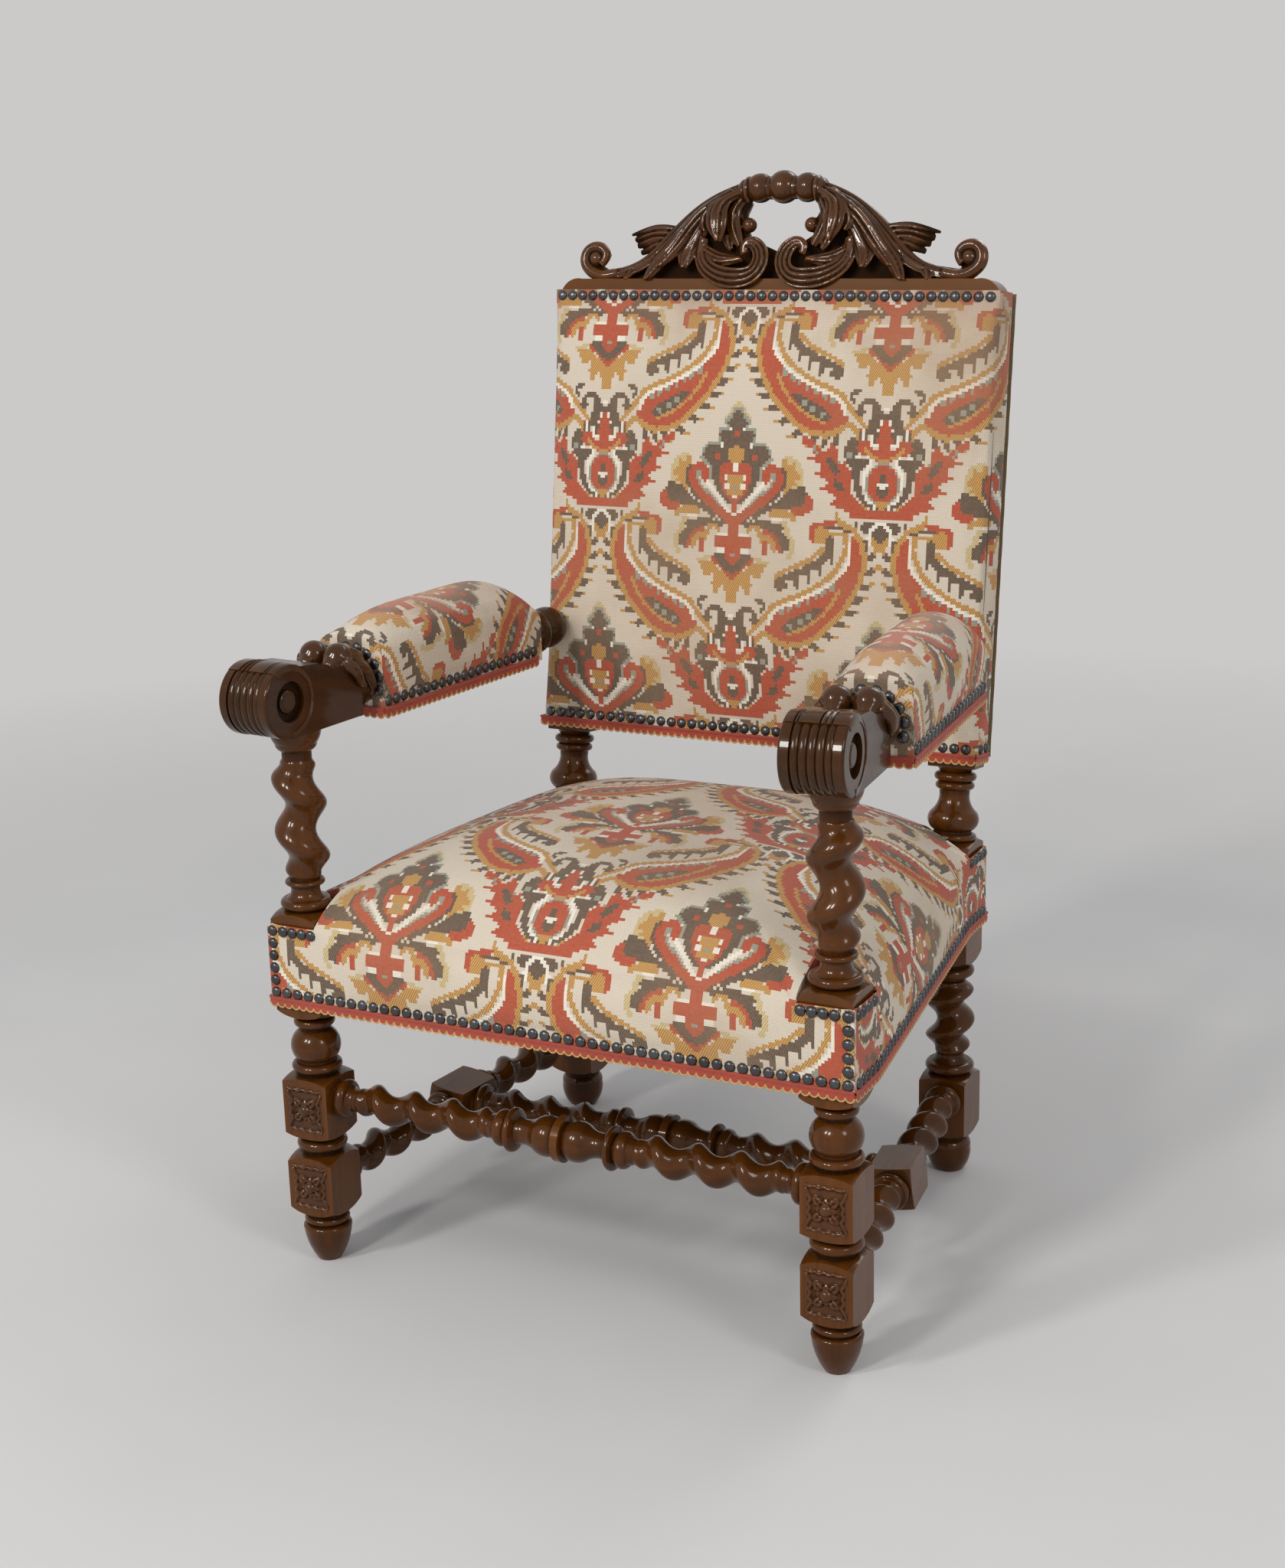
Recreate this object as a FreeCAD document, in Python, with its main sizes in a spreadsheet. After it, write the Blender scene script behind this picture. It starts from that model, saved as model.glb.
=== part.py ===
"""Carved and turned armchair with a padded seat, back and arms.

The chair is an open wooden frame. Four turned posts carry four seat rails, an H of twisted
stretchers and two scrolled arms. The back posts lean, hold a padded back and carry a pierced crest.
X runs to the chair's left and right, Y runs from front to back and Z runs up from the floor.
"""

import FreeCAD, Part
import Sketcher
import math
import os

Vector = FreeCAD.Vector
Rotation = FreeCAD.Rotation
Placement = FreeCAD.Placement

doc = FreeCAD.newDocument("armchair")
sheet = doc.addObject("Spreadsheet::Sheet", "sizes")

# Driving dimensions, in millimetres and degrees
SIZES = {
    # Plan of the posts
    "front_spread": 298.5,
    "back_spread": 243.0,
    "seat_depth": 486.0,
    "post_side": 55.0,
    "shoulder_height": 13.0,
    # Heights on the front post
    "foot_low_radius": 13.0,
    "foot_bulb_radius": 26.0,
    "foot_bulb_height": 37.0,
    "foot_height": 57.0,
    "foot_ring_radius": 24.5,
    "lower_block_top": 127.0,
    "middle_ring_radius": 27.0,
    "upper_block_low": 147.0,
    "upper_block_top": 217.0,
    "ball_radius": 26.5,
    "neck_radius": 15.5,
    "ring_radius": 22.0,
    "seat_block_low": 284.0,
    "seat_block_top": 402.0,
    "arm_post_base": 14.0,
    "arm_twist_low": 435.0,
    "arm_twist_top": 563.0,
    "arm_collar_low": 572.0,
    "arm_under": 596.0,
    "post_tenon_radius": 11.0,
    "post_tenon_length": 26.0,
    # Twists of the posts
    "post_twist_radius": 21.5,
    "post_twist_throw": 6.5,
    "arm_twist_pitch": 57.0,
    "leg_twist_pitch": 40.0,
    # Heights on the back post
    "back_foot_height": 46.0,
    "back_foot_radius": 17.0,
    "back_bulb_radius": 25.0,
    "back_block_top": 121.0,
    "leg_twist_low": 144.0,
    "leg_twist_top": 234.0,
    "back_block_low": 256.0,
    # Leaning part of the back post
    "lean_angle": 7.5,
    "lean_height": 400.0,
    "vase_radius": 28.0,
    "vase_neck_radius": 17.0,
    "vase_height": 78.0,
    "stile_low": 84.0,
    "stile_front": 17.0,
    "stile_back": 15.0,
    # Stretchers
    "front_stretcher_height": 191.0,
    "side_stretcher_height": 95.0,
    "stretcher_tenon_radius": 9.0,
    "stretcher_tenon_length": 18.0,
    "stretcher_collar_radius": 21.0,
    "stretcher_collar_length": 22.0,
    "stretcher_neck_radius": 12.5,
    "stretcher_twist_radius": 15.8,
    "stretcher_twist_throw": 4.9,
    "stretcher_twist_pitch": 46.0,
    "stretcher_vase_radius": 22.5,
    "stretcher_ring_radius": 24.0,
    "stretcher_middle": 84.0,
    "middle_block_side": 46.0,
    "middle_block_length": 66.0,
    # Seat frame
    "rail_low": 302.0,
    "rail_height": 58.0,
    "rail_thick": 26.0,
    "rail_tenon_length": 20.0,
    "rail_tenon_thick": 10.0,
    "rail_tenon_margin": 9.0,
    "corner_block_reach": 60.0,
    "corner_block_height": 44.0,
    "screw_radius": 2.2,
    "screw_head_radius": 4.4,
    "screw_head_length": 3.0,
    "screw_length": 45.0,
    # Seat filling
    "web_width": 50.0,
    "web_thick": 1.6,
    "spring_radius": 36.0,
    "spring_wire_radius": 1.9,
    "spring_pitch": 19.0,
    "canvas_thick": 1.5,
    "dust_cloth_thick": 0.8,
    "seat_edge_height": 362.0,
    "seat_shoulder": 26.0,
    "post_shoulder": 3.0,
    "seat_front_height": 392.0,
    "seat_crown": 66.0,
    "notch_height": 389.0,
    # Cloth, braid and nails
    "cloth_thick": 2.4,
    "cloth_gap": 0.5,
    "cloth_low": 299.0,
    "braid_width": 11.0,
    "braid_thick": 1.6,
    "braid_low": 295.5,
    "nail_radius": 6.0,
    "nail_rise": 3.6,
    "nail_pitch": 13.5,
    "nail_line": 314.0,
    "nail_side_margin": 7.0,
    # Back frame, in the leaning plane
    "back_low": 94.0,
    "back_top": 606.0,
    "back_rail_height": 56.0,
    "back_rail_thick": 26.0,
    "top_rail_low": 572.0,
    "top_rail_top": 619.0,
    "top_rail_half": 268.0,
    "top_rail_arch": 26.0,
    "stile_tenon_height": 30.0,
    "stile_tenon_side": 30.0,
    "stile_tenon_thick": 14.0,
    "back_crown": 24.0,
    "back_edge": 26.7,
    "back_shoulder": 9.0,
    "back_band": 20.0,
    "back_nail_low": 107.0,
    "back_nail_top": 599.0,
    "back_braid_width": 10.0,
    # Arms
    "arm_rear_out": 14.0,
    "arm_rear_gap": 16.0,
    "scroll_radius": 38.0,
    "scroll_forward": 40.0,
    "scroll_rise": 38.0,
    "scroll_half": 31.0,
    "reed_depth": 2.6,
    "eye_radius": 21.0,
    "eye_depth": 6.0,
    "eye_boss_radius": 12.0,
    "knob_radius": 14.5,
    "knob_along": 56.0,
    "knob_apart": 15.5,
    "knob_rise": 6.7,
    "arm_notch_along": 74.0,
    "arm_notch_rise": 12.0,
    "bell_radius": 28.0,
    "bell_rise": 30.0,
    "pad_front": 101.0,
    "arm_rear_neck": 74.8,
    "pad_drop": 4.0,
    "pad_half": 42.0,
    "pad_shift": 4.0,
    "pad_edge_rise": 54.0,
    "pad_shoulder": 15.0,
    "pad_front_rise": 76.0,
    "pad_crown": 29.0,
    "arm_rail_rise": 38.0,
    "arm_axis_rise": 19.0,
    "bead_radius": 27.0,
    "small_bead_radius": 24.5,
    "bead_valley_radius": 19.0,
    "arm_tenon_radius": 10.0,
    "arm_tenon_length": 54.0,
    # Crest, in the leaning plane
    "crest_lean": 6.0,
    "crest_front": 18.0,
    "crest_back": 14.0,
    "volute_across": 229.0,
    "volute_up": 640.5,
    "volute_radius": 16.5,
    "ball_up": 723.0,
    "handle_ball_radius": 18.5,
    "side_ball_radius": 16.5,
    "side_ball_across": 29.0,
    "scroll_ring_across": 48.0,
    "scroll_ring_up": 638.0,
    "scroll_ring_radius": 24.0,
    "scroll_rib_radius": 8.0,
    "inner_knob_radius": 8.5,
    "dowel_radius": 5.0,
    "dowel_length": 40.0,
    # Fits
    "fit": 0.2,
    "overrun": 4.0,
}

for row, (alias, value) in enumerate(SIZES.items(), start=1):
    sheet.set(f"A{row}", alias)
    sheet.set(f"B{row}", str(value))
    sheet.setAlias(f"B{row}", alias)
doc.recompute()


def mm(alias):
    """A driving dimension, read back from the sheet."""
    return float(sheet.get(alias))


# Values that follow from the driving dimensions
lean = math.radians(mm("lean_angle"))
half_post = mm("post_side") / 2
arm_rear_x = mm("back_spread") + mm("arm_rear_out")
arm_rear_y = mm("seat_depth") - mm("arm_rear_gap")
arm_slope = math.atan2(mm("front_spread") - arm_rear_x, arm_rear_y)
arm_tip = arm_rear_y / math.cos(arm_slope)
pad_back = arm_tip - mm("arm_rear_neck")
pad_low = mm("arm_under") - mm("pad_drop")
scroll_height = mm("arm_under") + mm("scroll_rise")
bell_height = mm("arm_under") + mm("bell_rise")
arm_rail_top = mm("arm_under") + mm("arm_rail_rise")
arm_axis_height = mm("arm_under") + mm("arm_axis_rise")
front_reach = ((mm("scroll_forward") + mm("scroll_radius")) * math.cos(arm_slope)
               + (mm("scroll_half") - mm("reed_depth")) * math.sin(arm_slope))
crest_lean = math.radians(mm("crest_lean"))
crest_middle = (mm("crest_back") - mm("crest_front")) / 4
ball_rise = mm("ball_up") - mm("top_rail_top")
ball_back = crest_middle * math.cos(crest_lean) + ball_rise * math.sin(crest_lean)
ball_high = mm("top_rail_top") + ball_rise * math.cos(crest_lean) - crest_middle * math.sin(crest_lean)
rear_reach = (mm("seat_depth") + ball_high * math.sin(lean) + ball_back * math.cos(lean)
              + mm("handle_ball_radius"))
front_y = (front_reach - rear_reach) / 2
back_y = front_y + mm("seat_depth")
side_x = mm("front_spread") + half_post
rear_x = mm("back_spread") + half_post
rail_top = mm("rail_low") + mm("rail_height")

X_AXIS, Y_AXIS, Z_AXIS = Vector(1, 0, 0), Vector(0, 1, 0), Vector(0, 0, 1)
BACK_FRAME = Placement(Vector(0, back_y, mm("lean_height")), Rotation(X_AXIS, -mm("lean_angle")))
ARM_FRAME = Placement(Vector(mm("front_spread"), front_y, 0), Rotation(Z_AXIS, math.degrees(arm_slope)))


def box(x_low, x_high, y_low, y_high, z_low, z_high):
    """A block between two corners."""
    return Part.makeBox(x_high - x_low, y_high - y_low, z_high - z_low, Vector(x_low, y_low, z_low))


def rod(radius, start, end):
    """A round rod from one point to another."""
    run = end - start
    return Part.makeCylinder(radius, run.Length, start, run)


def join(solids):
    """One solid out of several that touch or overlap."""
    return solids[0].multiFuse(solids[1:]).removeSplitter()


def cut_all(solid, tools):
    """A solid less a list of others."""
    return solid.cut(Part.makeCompound(tools))


def placed(shape, placement):
    """A copy of a shape, moved into a frame."""
    moved = shape.copy()
    moved.Placement = placement.multiply(moved.Placement)
    return moved


def mirrored(shape):
    """The same shape on the other side of the chair."""
    return shape.mirror(Vector(0, 0, 0), X_AXIS)


def lathe(steps):
    """Turn a profile about Z. Each step is (height, radius, bow), and bow rounds the stretch below it."""
    points = [Vector(radius, 0, height) for height, radius, bow in steps]
    edges = [Part.makeLine(Vector(0, 0, points[0].z), points[0])]
    for low, high, step in zip(points, points[1:], steps[1:]):
        if step[2]:
            run = high - low
            outward = Vector(run.z, 0, -run.x).normalize()
            edges.append(Part.Arc(low, (low + high) / 2 + outward * step[2], high).toShape())
        else:
            edges.append(Part.makeLine(low, high))
    edges.append(Part.makeLine(points[-1], Vector(0, 0, points[-1].z)))
    edges.append(Part.makeLine(Vector(0, 0, points[-1].z), Vector(0, 0, points[0].z)))
    return Part.Face(Part.Wire(edges)).revolve(Vector(0, 0, 0), Z_AXIS, 360)


def ring(low, high, radius, root):
    """Steps of one round ring on a turning, from its root up to its rim and back."""
    bow = min((radius - root) * 0.9, (high - low) * 0.45)
    return [(low, root, 0), (low, radius - bow, 0), (high, radius - bow, bow), (high, root, 0)]


def pommel(side, low, high, shoulder, neck, low_shoulder=True, high_shoulder=True):
    """A square block whose corners are turned down to a round neck at its ends."""
    corner = side * math.sqrt(0.5) + mm("overrun")
    steps = [(low, corner, 0)]
    if low_shoulder:
        steps = [(low, neck, 0), (low + shoulder, corner, shoulder / 5)]
    if high_shoulder:
        steps += [(high - shoulder, corner, 0), (high, neck, shoulder / 5)]
    else:
        steps.append((high, corner, 0))
    half = side / 2
    return box(-half, half, -half, half, low, high).common(lathe(steps))


def twist(low, high, radius, throw, pitch, hand, neck):
    """A corkscrew stretch about Z: a round section that is carried once round the axis in each pitch."""
    length = high - low
    count = 8 * math.ceil(length / pitch)
    fade_length = pitch / 3
    sections = []
    for index in range(count + 1):
        along = length * index / count
        share = min(1.0, along / fade_length, (length - along) / fade_length)
        fade = share * share * (3 - 2 * share)
        angle = hand * 2 * math.pi * along / pitch
        offset = throw * fade
        centre = Vector(offset * math.cos(angle), offset * math.sin(angle), low + along)
        circle = Part.Circle(centre, Z_AXIS, neck + (radius - neck) * math.sqrt(fade))
        sections.append(Part.Wire([circle.toShape()]))
    return Part.makeLoft(sections, True, False)


def piece(label, shape):
    """A sub-part that holds a finished shape."""
    feature = doc.addObject("Part::Feature", label)
    feature.Label = label
    feature.Shape = shape
    return feature


def mirror_piece(label, source):
    """The sub-part on the other side of the chair."""
    other = doc.addObject("Part::Mirroring", label)
    other.Label = label
    other.Source = source
    other.Normal = X_AXIS
    other.Base = Vector(0, 0, 0)
    return other


# Posts

def front_post():
    """The right front post, from its foot to the tenon in the arm."""
    side, shoulder = mm("post_side"), mm("shoulder_height")
    root = mm("neck_radius") + mm("ring_radius") * 0.25
    foot_top, low_top = mm("foot_height"), mm("lower_block_top")
    up_low, up_top = mm("upper_block_low"), mm("upper_block_top")
    seat_low, seat_top = mm("seat_block_low"), mm("seat_block_top")
    bulb = mm("foot_bulb_height")
    gap = (foot_top - bulb) / 4
    foot = lathe([(0, mm("foot_low_radius"), 0),
                  (bulb, mm("foot_bulb_radius"), gap / 2),
                  (bulb + gap, root, gap / 2)]
                 + ring(bulb + 1.5 * gap, bulb + 3 * gap, mm("foot_ring_radius"), root)
                 + [(foot_top, root, 0)])
    gap = (up_low - low_top) / 5
    middle = lathe([(low_top, root, 0)]
                   + ring(low_top + gap, up_low - gap, mm("middle_ring_radius"), root)
                   + [(up_low, root, 0)])
    gap = (seat_low - up_top) / 8
    ball_bow = mm("ball_radius") - (root + mm("neck_radius")) / 2
    upper = lathe([(up_top, root, 0)]
                  + ring(up_top + gap / 2, up_top + 1.6 * gap, mm("middle_ring_radius"), root)
                  + [(up_top + 2 * gap, root, 0), (up_top + 6 * gap, mm("neck_radius"), ball_bow)]
                  + ring(up_top + 6.4 * gap, up_top + 7.6 * gap, mm("ring_radius"), mm("neck_radius"))
                  + [(seat_low, root, 0)])
    base = mm("arm_post_base")
    cove_top = mm("arm_twist_low")
    torus_top = seat_top + base * 0.8
    arm_base = lathe([(seat_top - shoulder / 2, root, 0), (seat_top, root, 0)]
                     + ring(seat_top + base * 0.1, torus_top, mm("middle_ring_radius"), root)
                     + [(cove_top - base * 0.7, mm("neck_radius"), -base / 6)]
                     + ring(cove_top - base * 0.5, cove_top - base * 0.1, root, mm("neck_radius"))
                     + [(cove_top, mm("neck_radius"), 0)])
    collar = mm("arm_collar_low")
    under = mm("arm_under")
    arm_collar = lathe([(mm("arm_twist_top"), mm("neck_radius"), 0),
                        (collar, mm("neck_radius"), 0),
                        (collar + (under - collar) / 3, mm("ring_radius"), base / 8),
                        (under, mm("middle_ring_radius"), base / 10),
                        (under, mm("post_tenon_radius"), 0),
                        (under + mm("post_tenon_length"), mm("post_tenon_radius"), 0)])
    solid = join([foot,
                  pommel(side, foot_top, low_top, shoulder, root),
                  middle,
                  pommel(side, up_low, up_top, shoulder * 0.6, root),
                  upper,
                  pommel(side, seat_low, seat_top, shoulder, root),
                  arm_base,
                  twist(cove_top, mm("arm_twist_top"), mm("post_twist_radius"), mm("post_twist_throw"),
                        mm("arm_twist_pitch"), 1, mm("neck_radius")),
                  arm_collar])
    return placed(solid, Placement(Vector(mm("front_spread"), front_y, 0), Rotation()))


def back_post():
    """The right back post, upright to the seat and leaning above it."""
    side, shoulder = mm("post_side"), mm("shoulder_height")
    root = mm("neck_radius") + mm("ring_radius") * 0.25
    foot_top, low_top = mm("back_foot_height"), mm("back_block_top")
    twist_low, twist_top = mm("leg_twist_low"), mm("leg_twist_top")
    seat_low, seat_top = mm("back_block_low"), mm("seat_block_top")
    foot = lathe([(0, mm("back_foot_radius"), 0),
                  (foot_top * 0.62, mm("back_bulb_radius"), shoulder / 4),
                  (foot_top * 0.86, root, shoulder / 8),
                  (foot_top, root, 0)])
    gap = (twist_low - low_top) / 5
    lower = lathe([(low_top, root, 0)]
                  + ring(low_top + gap / 2, low_top + 3 * gap, mm("vase_radius"), root)
                  + [(twist_low, mm("neck_radius"), -gap / 4)])
    gap = (seat_low - twist_top) / 5
    upper = lathe([(twist_top, mm("neck_radius"), 0), (twist_top + gap, root, 0)]
                  + ring(twist_top + 1.2 * gap, twist_top + 4 * gap, mm("middle_ring_radius"), root)
                  + [(seat_low, root, 0)])
    leg = join([foot,
                pommel(side, foot_top, low_top, shoulder * 0.8, root),
                lower,
                twist(twist_low, twist_top, mm("post_twist_radius"), mm("post_twist_throw"),
                      mm("leg_twist_pitch"), 1, mm("neck_radius")),
                upper,
                pommel(side, seat_low, seat_top, shoulder, root)])
    leg = placed(leg, Placement(Vector(mm("back_spread"), back_y, 0), Rotation()))
    vase_top, neck, wide = mm("vase_height"), mm("vase_neck_radius"), mm("vase_radius")
    step = vase_top / 8
    vase = lathe([(-step, root, 0), (0, root, 0)]
                 + ring(step * 0.1, step * 0.9, mm("middle_ring_radius"), root)
                 + [(step * 1.2, root, 0),
                    (step * 3.4, wide * 0.92, step * 0.55),
                    (step * 5.6, neck, -step * 0.3)]
                 + ring(step * 6, step * 6.9, mm("ring_radius"), neck)
                 + ring(step * 7, vase_top, mm("ring_radius") * 1.08, neck)
                 + [(mm("stile_low"), root, 0)])
    vase = placed(vase, Placement(Vector(mm("back_spread"), 0, 0), Rotation()))
    low, high = mm("back_spread") - half_post, mm("back_spread") + half_post
    stile = box(low, high, -mm("stile_front"), mm("stile_back"), mm("stile_low"), mm("top_rail_low"))
    inset = (mm("post_side") - mm("stile_tenon_side")) / 2
    middle = (mm("stile_back") - mm("stile_front")) / 2
    tenon = box(low + inset, high - inset, middle - mm("stile_tenon_thick") / 2,
                middle + mm("stile_tenon_thick") / 2, mm("top_rail_low"),
                mm("top_rail_low") + mm("stile_tenon_height"))
    return join([leg, placed(join([vase, stile, tenon]), BACK_FRAME)])


# Stretchers, turned about Z and then laid down

def stretcher_end(face, neck_end, sink=0):
    """Collar and neck at one end of a stretcher. The collar starts at the block's face, or sunk past it."""
    collar = mm("stretcher_collar_radius")
    neck = mm("stretcher_neck_radius")
    length = mm("stretcher_collar_length")
    return lathe([(face - sink, collar * 0.86, 0), (face + length * 0.06, collar * 0.86, 0)]
                 + ring(face + length * 0.1, face + length * 0.62, collar, collar * 0.8)
                 + [(face + length, neck, -length / 12), (neck_end, neck, 0)])


def middle_turning(half_length):
    """Two vases and three rings in the middle of a stretcher, about the height zero."""
    wide, ring_radius = mm("stretcher_vase_radius"), mm("stretcher_ring_radius")
    neck = mm("stretcher_neck_radius")
    unit = half_length / 8
    upper = lathe([(0, ring_radius, 0), (unit * 0.4, ring_radius, 0), (unit * 0.55, wide * 0.8, 0),
                   (unit * 2.6, wide * 0.84, wide * 0.13), (unit * 4.9, neck * 1.15, -unit * 0.3),
                   (unit * 5.2, wide * 0.96, 0), (unit * 5.7, wide, unit * 0.1),
                   (unit * 5.9, neck * 1.2, 0)]
                  + ring(unit * 6, unit * 7.3, wide * 0.86, neck * 1.2)
                  + [(half_length, neck, 0)])
    lower = upper.mirror(Vector(0, 0, 0), Z_AXIS)
    return join([upper, lower])


def twisted_bar(length, sink=0):
    """A stretcher between two block faces, with two twists and turned vases in its middle."""
    half = length / 2
    middle = mm("stretcher_middle")
    start = half - mm("stretcher_collar_length") - mm("stretcher_neck_radius") / 4
    args = (mm("stretcher_twist_radius"), mm("stretcher_twist_throw"), mm("stretcher_twist_pitch"), 1,
            mm("stretcher_neck_radius"))
    end = stretcher_end(-half, -start, sink)
    return join([end, twist(-start, -middle, *args), middle_turning(middle),
                 twist(middle, start, *args), end.mirror(Vector(0, 0, 0), Z_AXIS)])


side_run = Vector(mm("back_spread") - mm("front_spread"), mm("seat_depth"), 0)
side_slant = math.atan2(-side_run.x, side_run.y)
side_way = Vector(side_run).normalize()


def side_bar(length):
    """A side stretcher between two posts, with a square block in its middle for the cross stretcher."""
    half = length / 2
    block = mm("middle_block_length") / 2
    collar, wide = mm("stretcher_collar_length"), mm("stretcher_collar_radius")
    start = half - collar - mm("stretcher_neck_radius") / 4
    stop = block + collar * 0.8
    neck = mm("stretcher_neck_radius")
    square = pommel(mm("middle_block_side"), -block, block, collar / 4, wide)
    inner = lathe([(block, wide * 0.7, 0), (block + collar * 0.08, wide * 0.7, 0)]
                  + ring(block + collar * 0.1, block + collar * 0.45, wide, neck * 1.3)
                  + [(stop, neck, -collar / 16)])
    args = (mm("stretcher_twist_radius"), mm("stretcher_twist_throw"), mm("stretcher_twist_pitch"), 1, neck)
    end = stretcher_end(-half, -start, wide * math.tan(side_slant))
    return join([end, twist(-start, -stop, *args), inner.mirror(Vector(0, 0, 0), Z_AXIS), square, inner,
                 twist(stop, start, *args), end.mirror(Vector(0, 0, 0), Z_AXIS)])


ACROSS = Rotation(Y_AXIS, 90)
side_middle = Vector((mm("front_spread") + mm("back_spread")) / 2, front_y + mm("seat_depth") / 2,
                     mm("side_stretcher_height"))
SIDE_FRAME = Placement(side_middle, Rotation(Z_AXIS, side_way))
cross_half = side_middle.x - mm("middle_block_side") / 2 / math.cos(side_slant)
block_face = half_post / math.cos(side_slant)

# Where each stretcher meets a block on the right: the place on the block's face and the way in
FRONT_JOINT = (Vector(mm("front_spread") - half_post, front_y, mm("front_stretcher_height")), X_AXIS)
SIDE_JOINTS = ((Vector(mm("front_spread"), front_y, mm("side_stretcher_height")) + side_way * block_face,
                side_way * -1),
               (Vector(mm("back_spread"), back_y, mm("side_stretcher_height")) - side_way * block_face,
                side_way))
CROSS_JOINT = (Vector(cross_half, side_middle.y, side_middle.z), X_AXIS)


def joint_rod(joint, grow):
    """The round tenon at a stretcher's end, or the bore for it when it grows by the fit."""
    place, way = joint
    back = mm("stretcher_collar_length") / 2
    return rod(mm("stretcher_tenon_radius") + grow, place - way * back,
               place + way * (mm("stretcher_tenon_length") + grow))


def joint_bore(joint):
    """The bore in a block for a stretcher's tenon."""
    return joint_rod(joint, mm("fit"))


def straight_bar(joint, sink=0):
    """A twisted stretcher from a joint on the right to its mirror on the left."""
    place = joint[0]
    bar_solid = placed(twisted_bar(2 * place.x, sink), Placement(Vector(0, place.y, place.z), ACROSS))
    pin = joint_rod(joint, 0)
    return bar_solid, [pin, mirrored(pin)]


def front_stretcher():
    """The stretcher between the two front posts."""
    bar_solid, pins = straight_bar(FRONT_JOINT)
    return join([bar_solid] + pins)


def cross_stretcher():
    """The stretcher between the middle blocks of the two side stretchers."""
    bar_solid, pins = straight_bar(CROSS_JOINT, mm("stretcher_collar_radius") * math.tan(side_slant))
    half, block = mm("middle_block_side") / 2, mm("middle_block_length") / 2
    square = placed(box(-half, half, -half, half, -block, block), SIDE_FRAME)
    return join([cut_all(bar_solid, [square, mirrored(square)])] + pins)


def side_stretcher():
    """The stretcher between the right posts, bored for the cross stretcher."""
    bar_solid = placed(side_bar(side_run.Length - 2 * block_face), SIDE_FRAME)
    reach = mm("lower_block_top")
    walls = [box(spread - half_post, spread + half_post, y - half_post, y + half_post, 0, reach)
             for spread, y in ((mm("front_spread"), front_y), (mm("back_spread"), back_y))]
    solid = join([cut_all(bar_solid, walls)] + [joint_rod(joint, 0) for joint in SIDE_JOINTS])
    return solid.cut(joint_bore(CROSS_JOINT))


# Seat rails

def bar(name, length, width, height, corner):
    """A straight bar whose three sizes follow the sheet, with its low corner at a place."""
    solid = doc.addObject("Part::Box", name)
    solid.setExpression("Length", length)
    solid.setExpression("Width", width)
    solid.setExpression("Height", height)
    solid.Placement.Base = corner
    return solid


def fused(label, solids):
    """One sub-part joined from several solids of the document."""
    whole = doc.addObject("Part::MultiFuse", label)
    whole.Label = label
    whole.Shapes = solids
    return whole


TENON_TALL = "sizes.rail_height - 2 * sizes.rail_tenon_margin"


def cross_rail(label, spread, y_low):
    """A front or back seat rail with a tenon at each end."""
    clear = f"2 * sizes.{spread} - sizes.post_side"
    start = half_post - mm(spread)
    tenon_y = y_low + (mm("rail_thick") - mm("rail_tenon_thick")) / 2
    rail = bar(label + "_bar", clear, "sizes.rail_thick", "sizes.rail_height",
               Vector(start, y_low, mm("rail_low")))
    tenon = bar(label + "_tenon", clear + " + 2 * sizes.rail_tenon_length", "sizes.rail_tenon_thick",
                TENON_TALL, Vector(start - mm("rail_tenon_length"), tenon_y,
                                   mm("rail_low") + mm("rail_tenon_margin")))
    return fused(label, [rail, tenon])


def outline_pad(body, name, corners, low, thick):
    """Pad a closed outline drawn on the floor plane. Its corners are pairs of expressions."""
    sketch = body.newObject("Sketcher::SketchObject", name + "_plan")
    plane = next(item for item in body.Origin.OriginFeatures if item.Role == "XY_Plane")
    sketch.AttachmentSupport = [(plane, "")]
    sketch.MapMode = "FlatFace"
    sketch.AttachmentOffset = Placement(Vector(0, 0, low), Rotation())
    count = len(corners)
    rough = [Vector(math.cos(2 * math.pi * index / count), math.sin(2 * math.pi * index / count), 0)
             for index in range(count)]
    for index in range(count):
        sketch.addGeometry(Part.LineSegment(rough[index], rough[(index + 1) % count]), False)
    for index in range(count):
        sketch.addConstraint(Sketcher.Constraint("Coincident", index, 2, (index + 1) % count, 1))
    for index, (across, along) in enumerate(corners):
        for kind, expression in (("DistanceX", across), ("DistanceY", along)):
            start = rough[index].x if kind == "DistanceX" else rough[index].y
            number = sketch.addConstraint(Sketcher.Constraint(kind, -1, 1, index, 1, start))
            sketch.setExpression(f"Constraints[{number}]", expression)
    pad = body.newObject("PartDesign::Pad", name)
    pad.Profile = sketch
    pad.setExpression("Length", thick)
    return pad


HALF_SIDE = "sizes.post_side / 2"
INNER_FRONT_X = "sizes.front_spread + sizes.post_side / 2 - sizes.rail_thick"
INNER_BACK_X = "sizes.back_spread + sizes.post_side / 2 - sizes.rail_thick"
BACK_FACE_Y = "sizes.seat_depth - sizes.post_side / 2"
PLAN = Placement(Vector(0, front_y, 0), Rotation())


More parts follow.
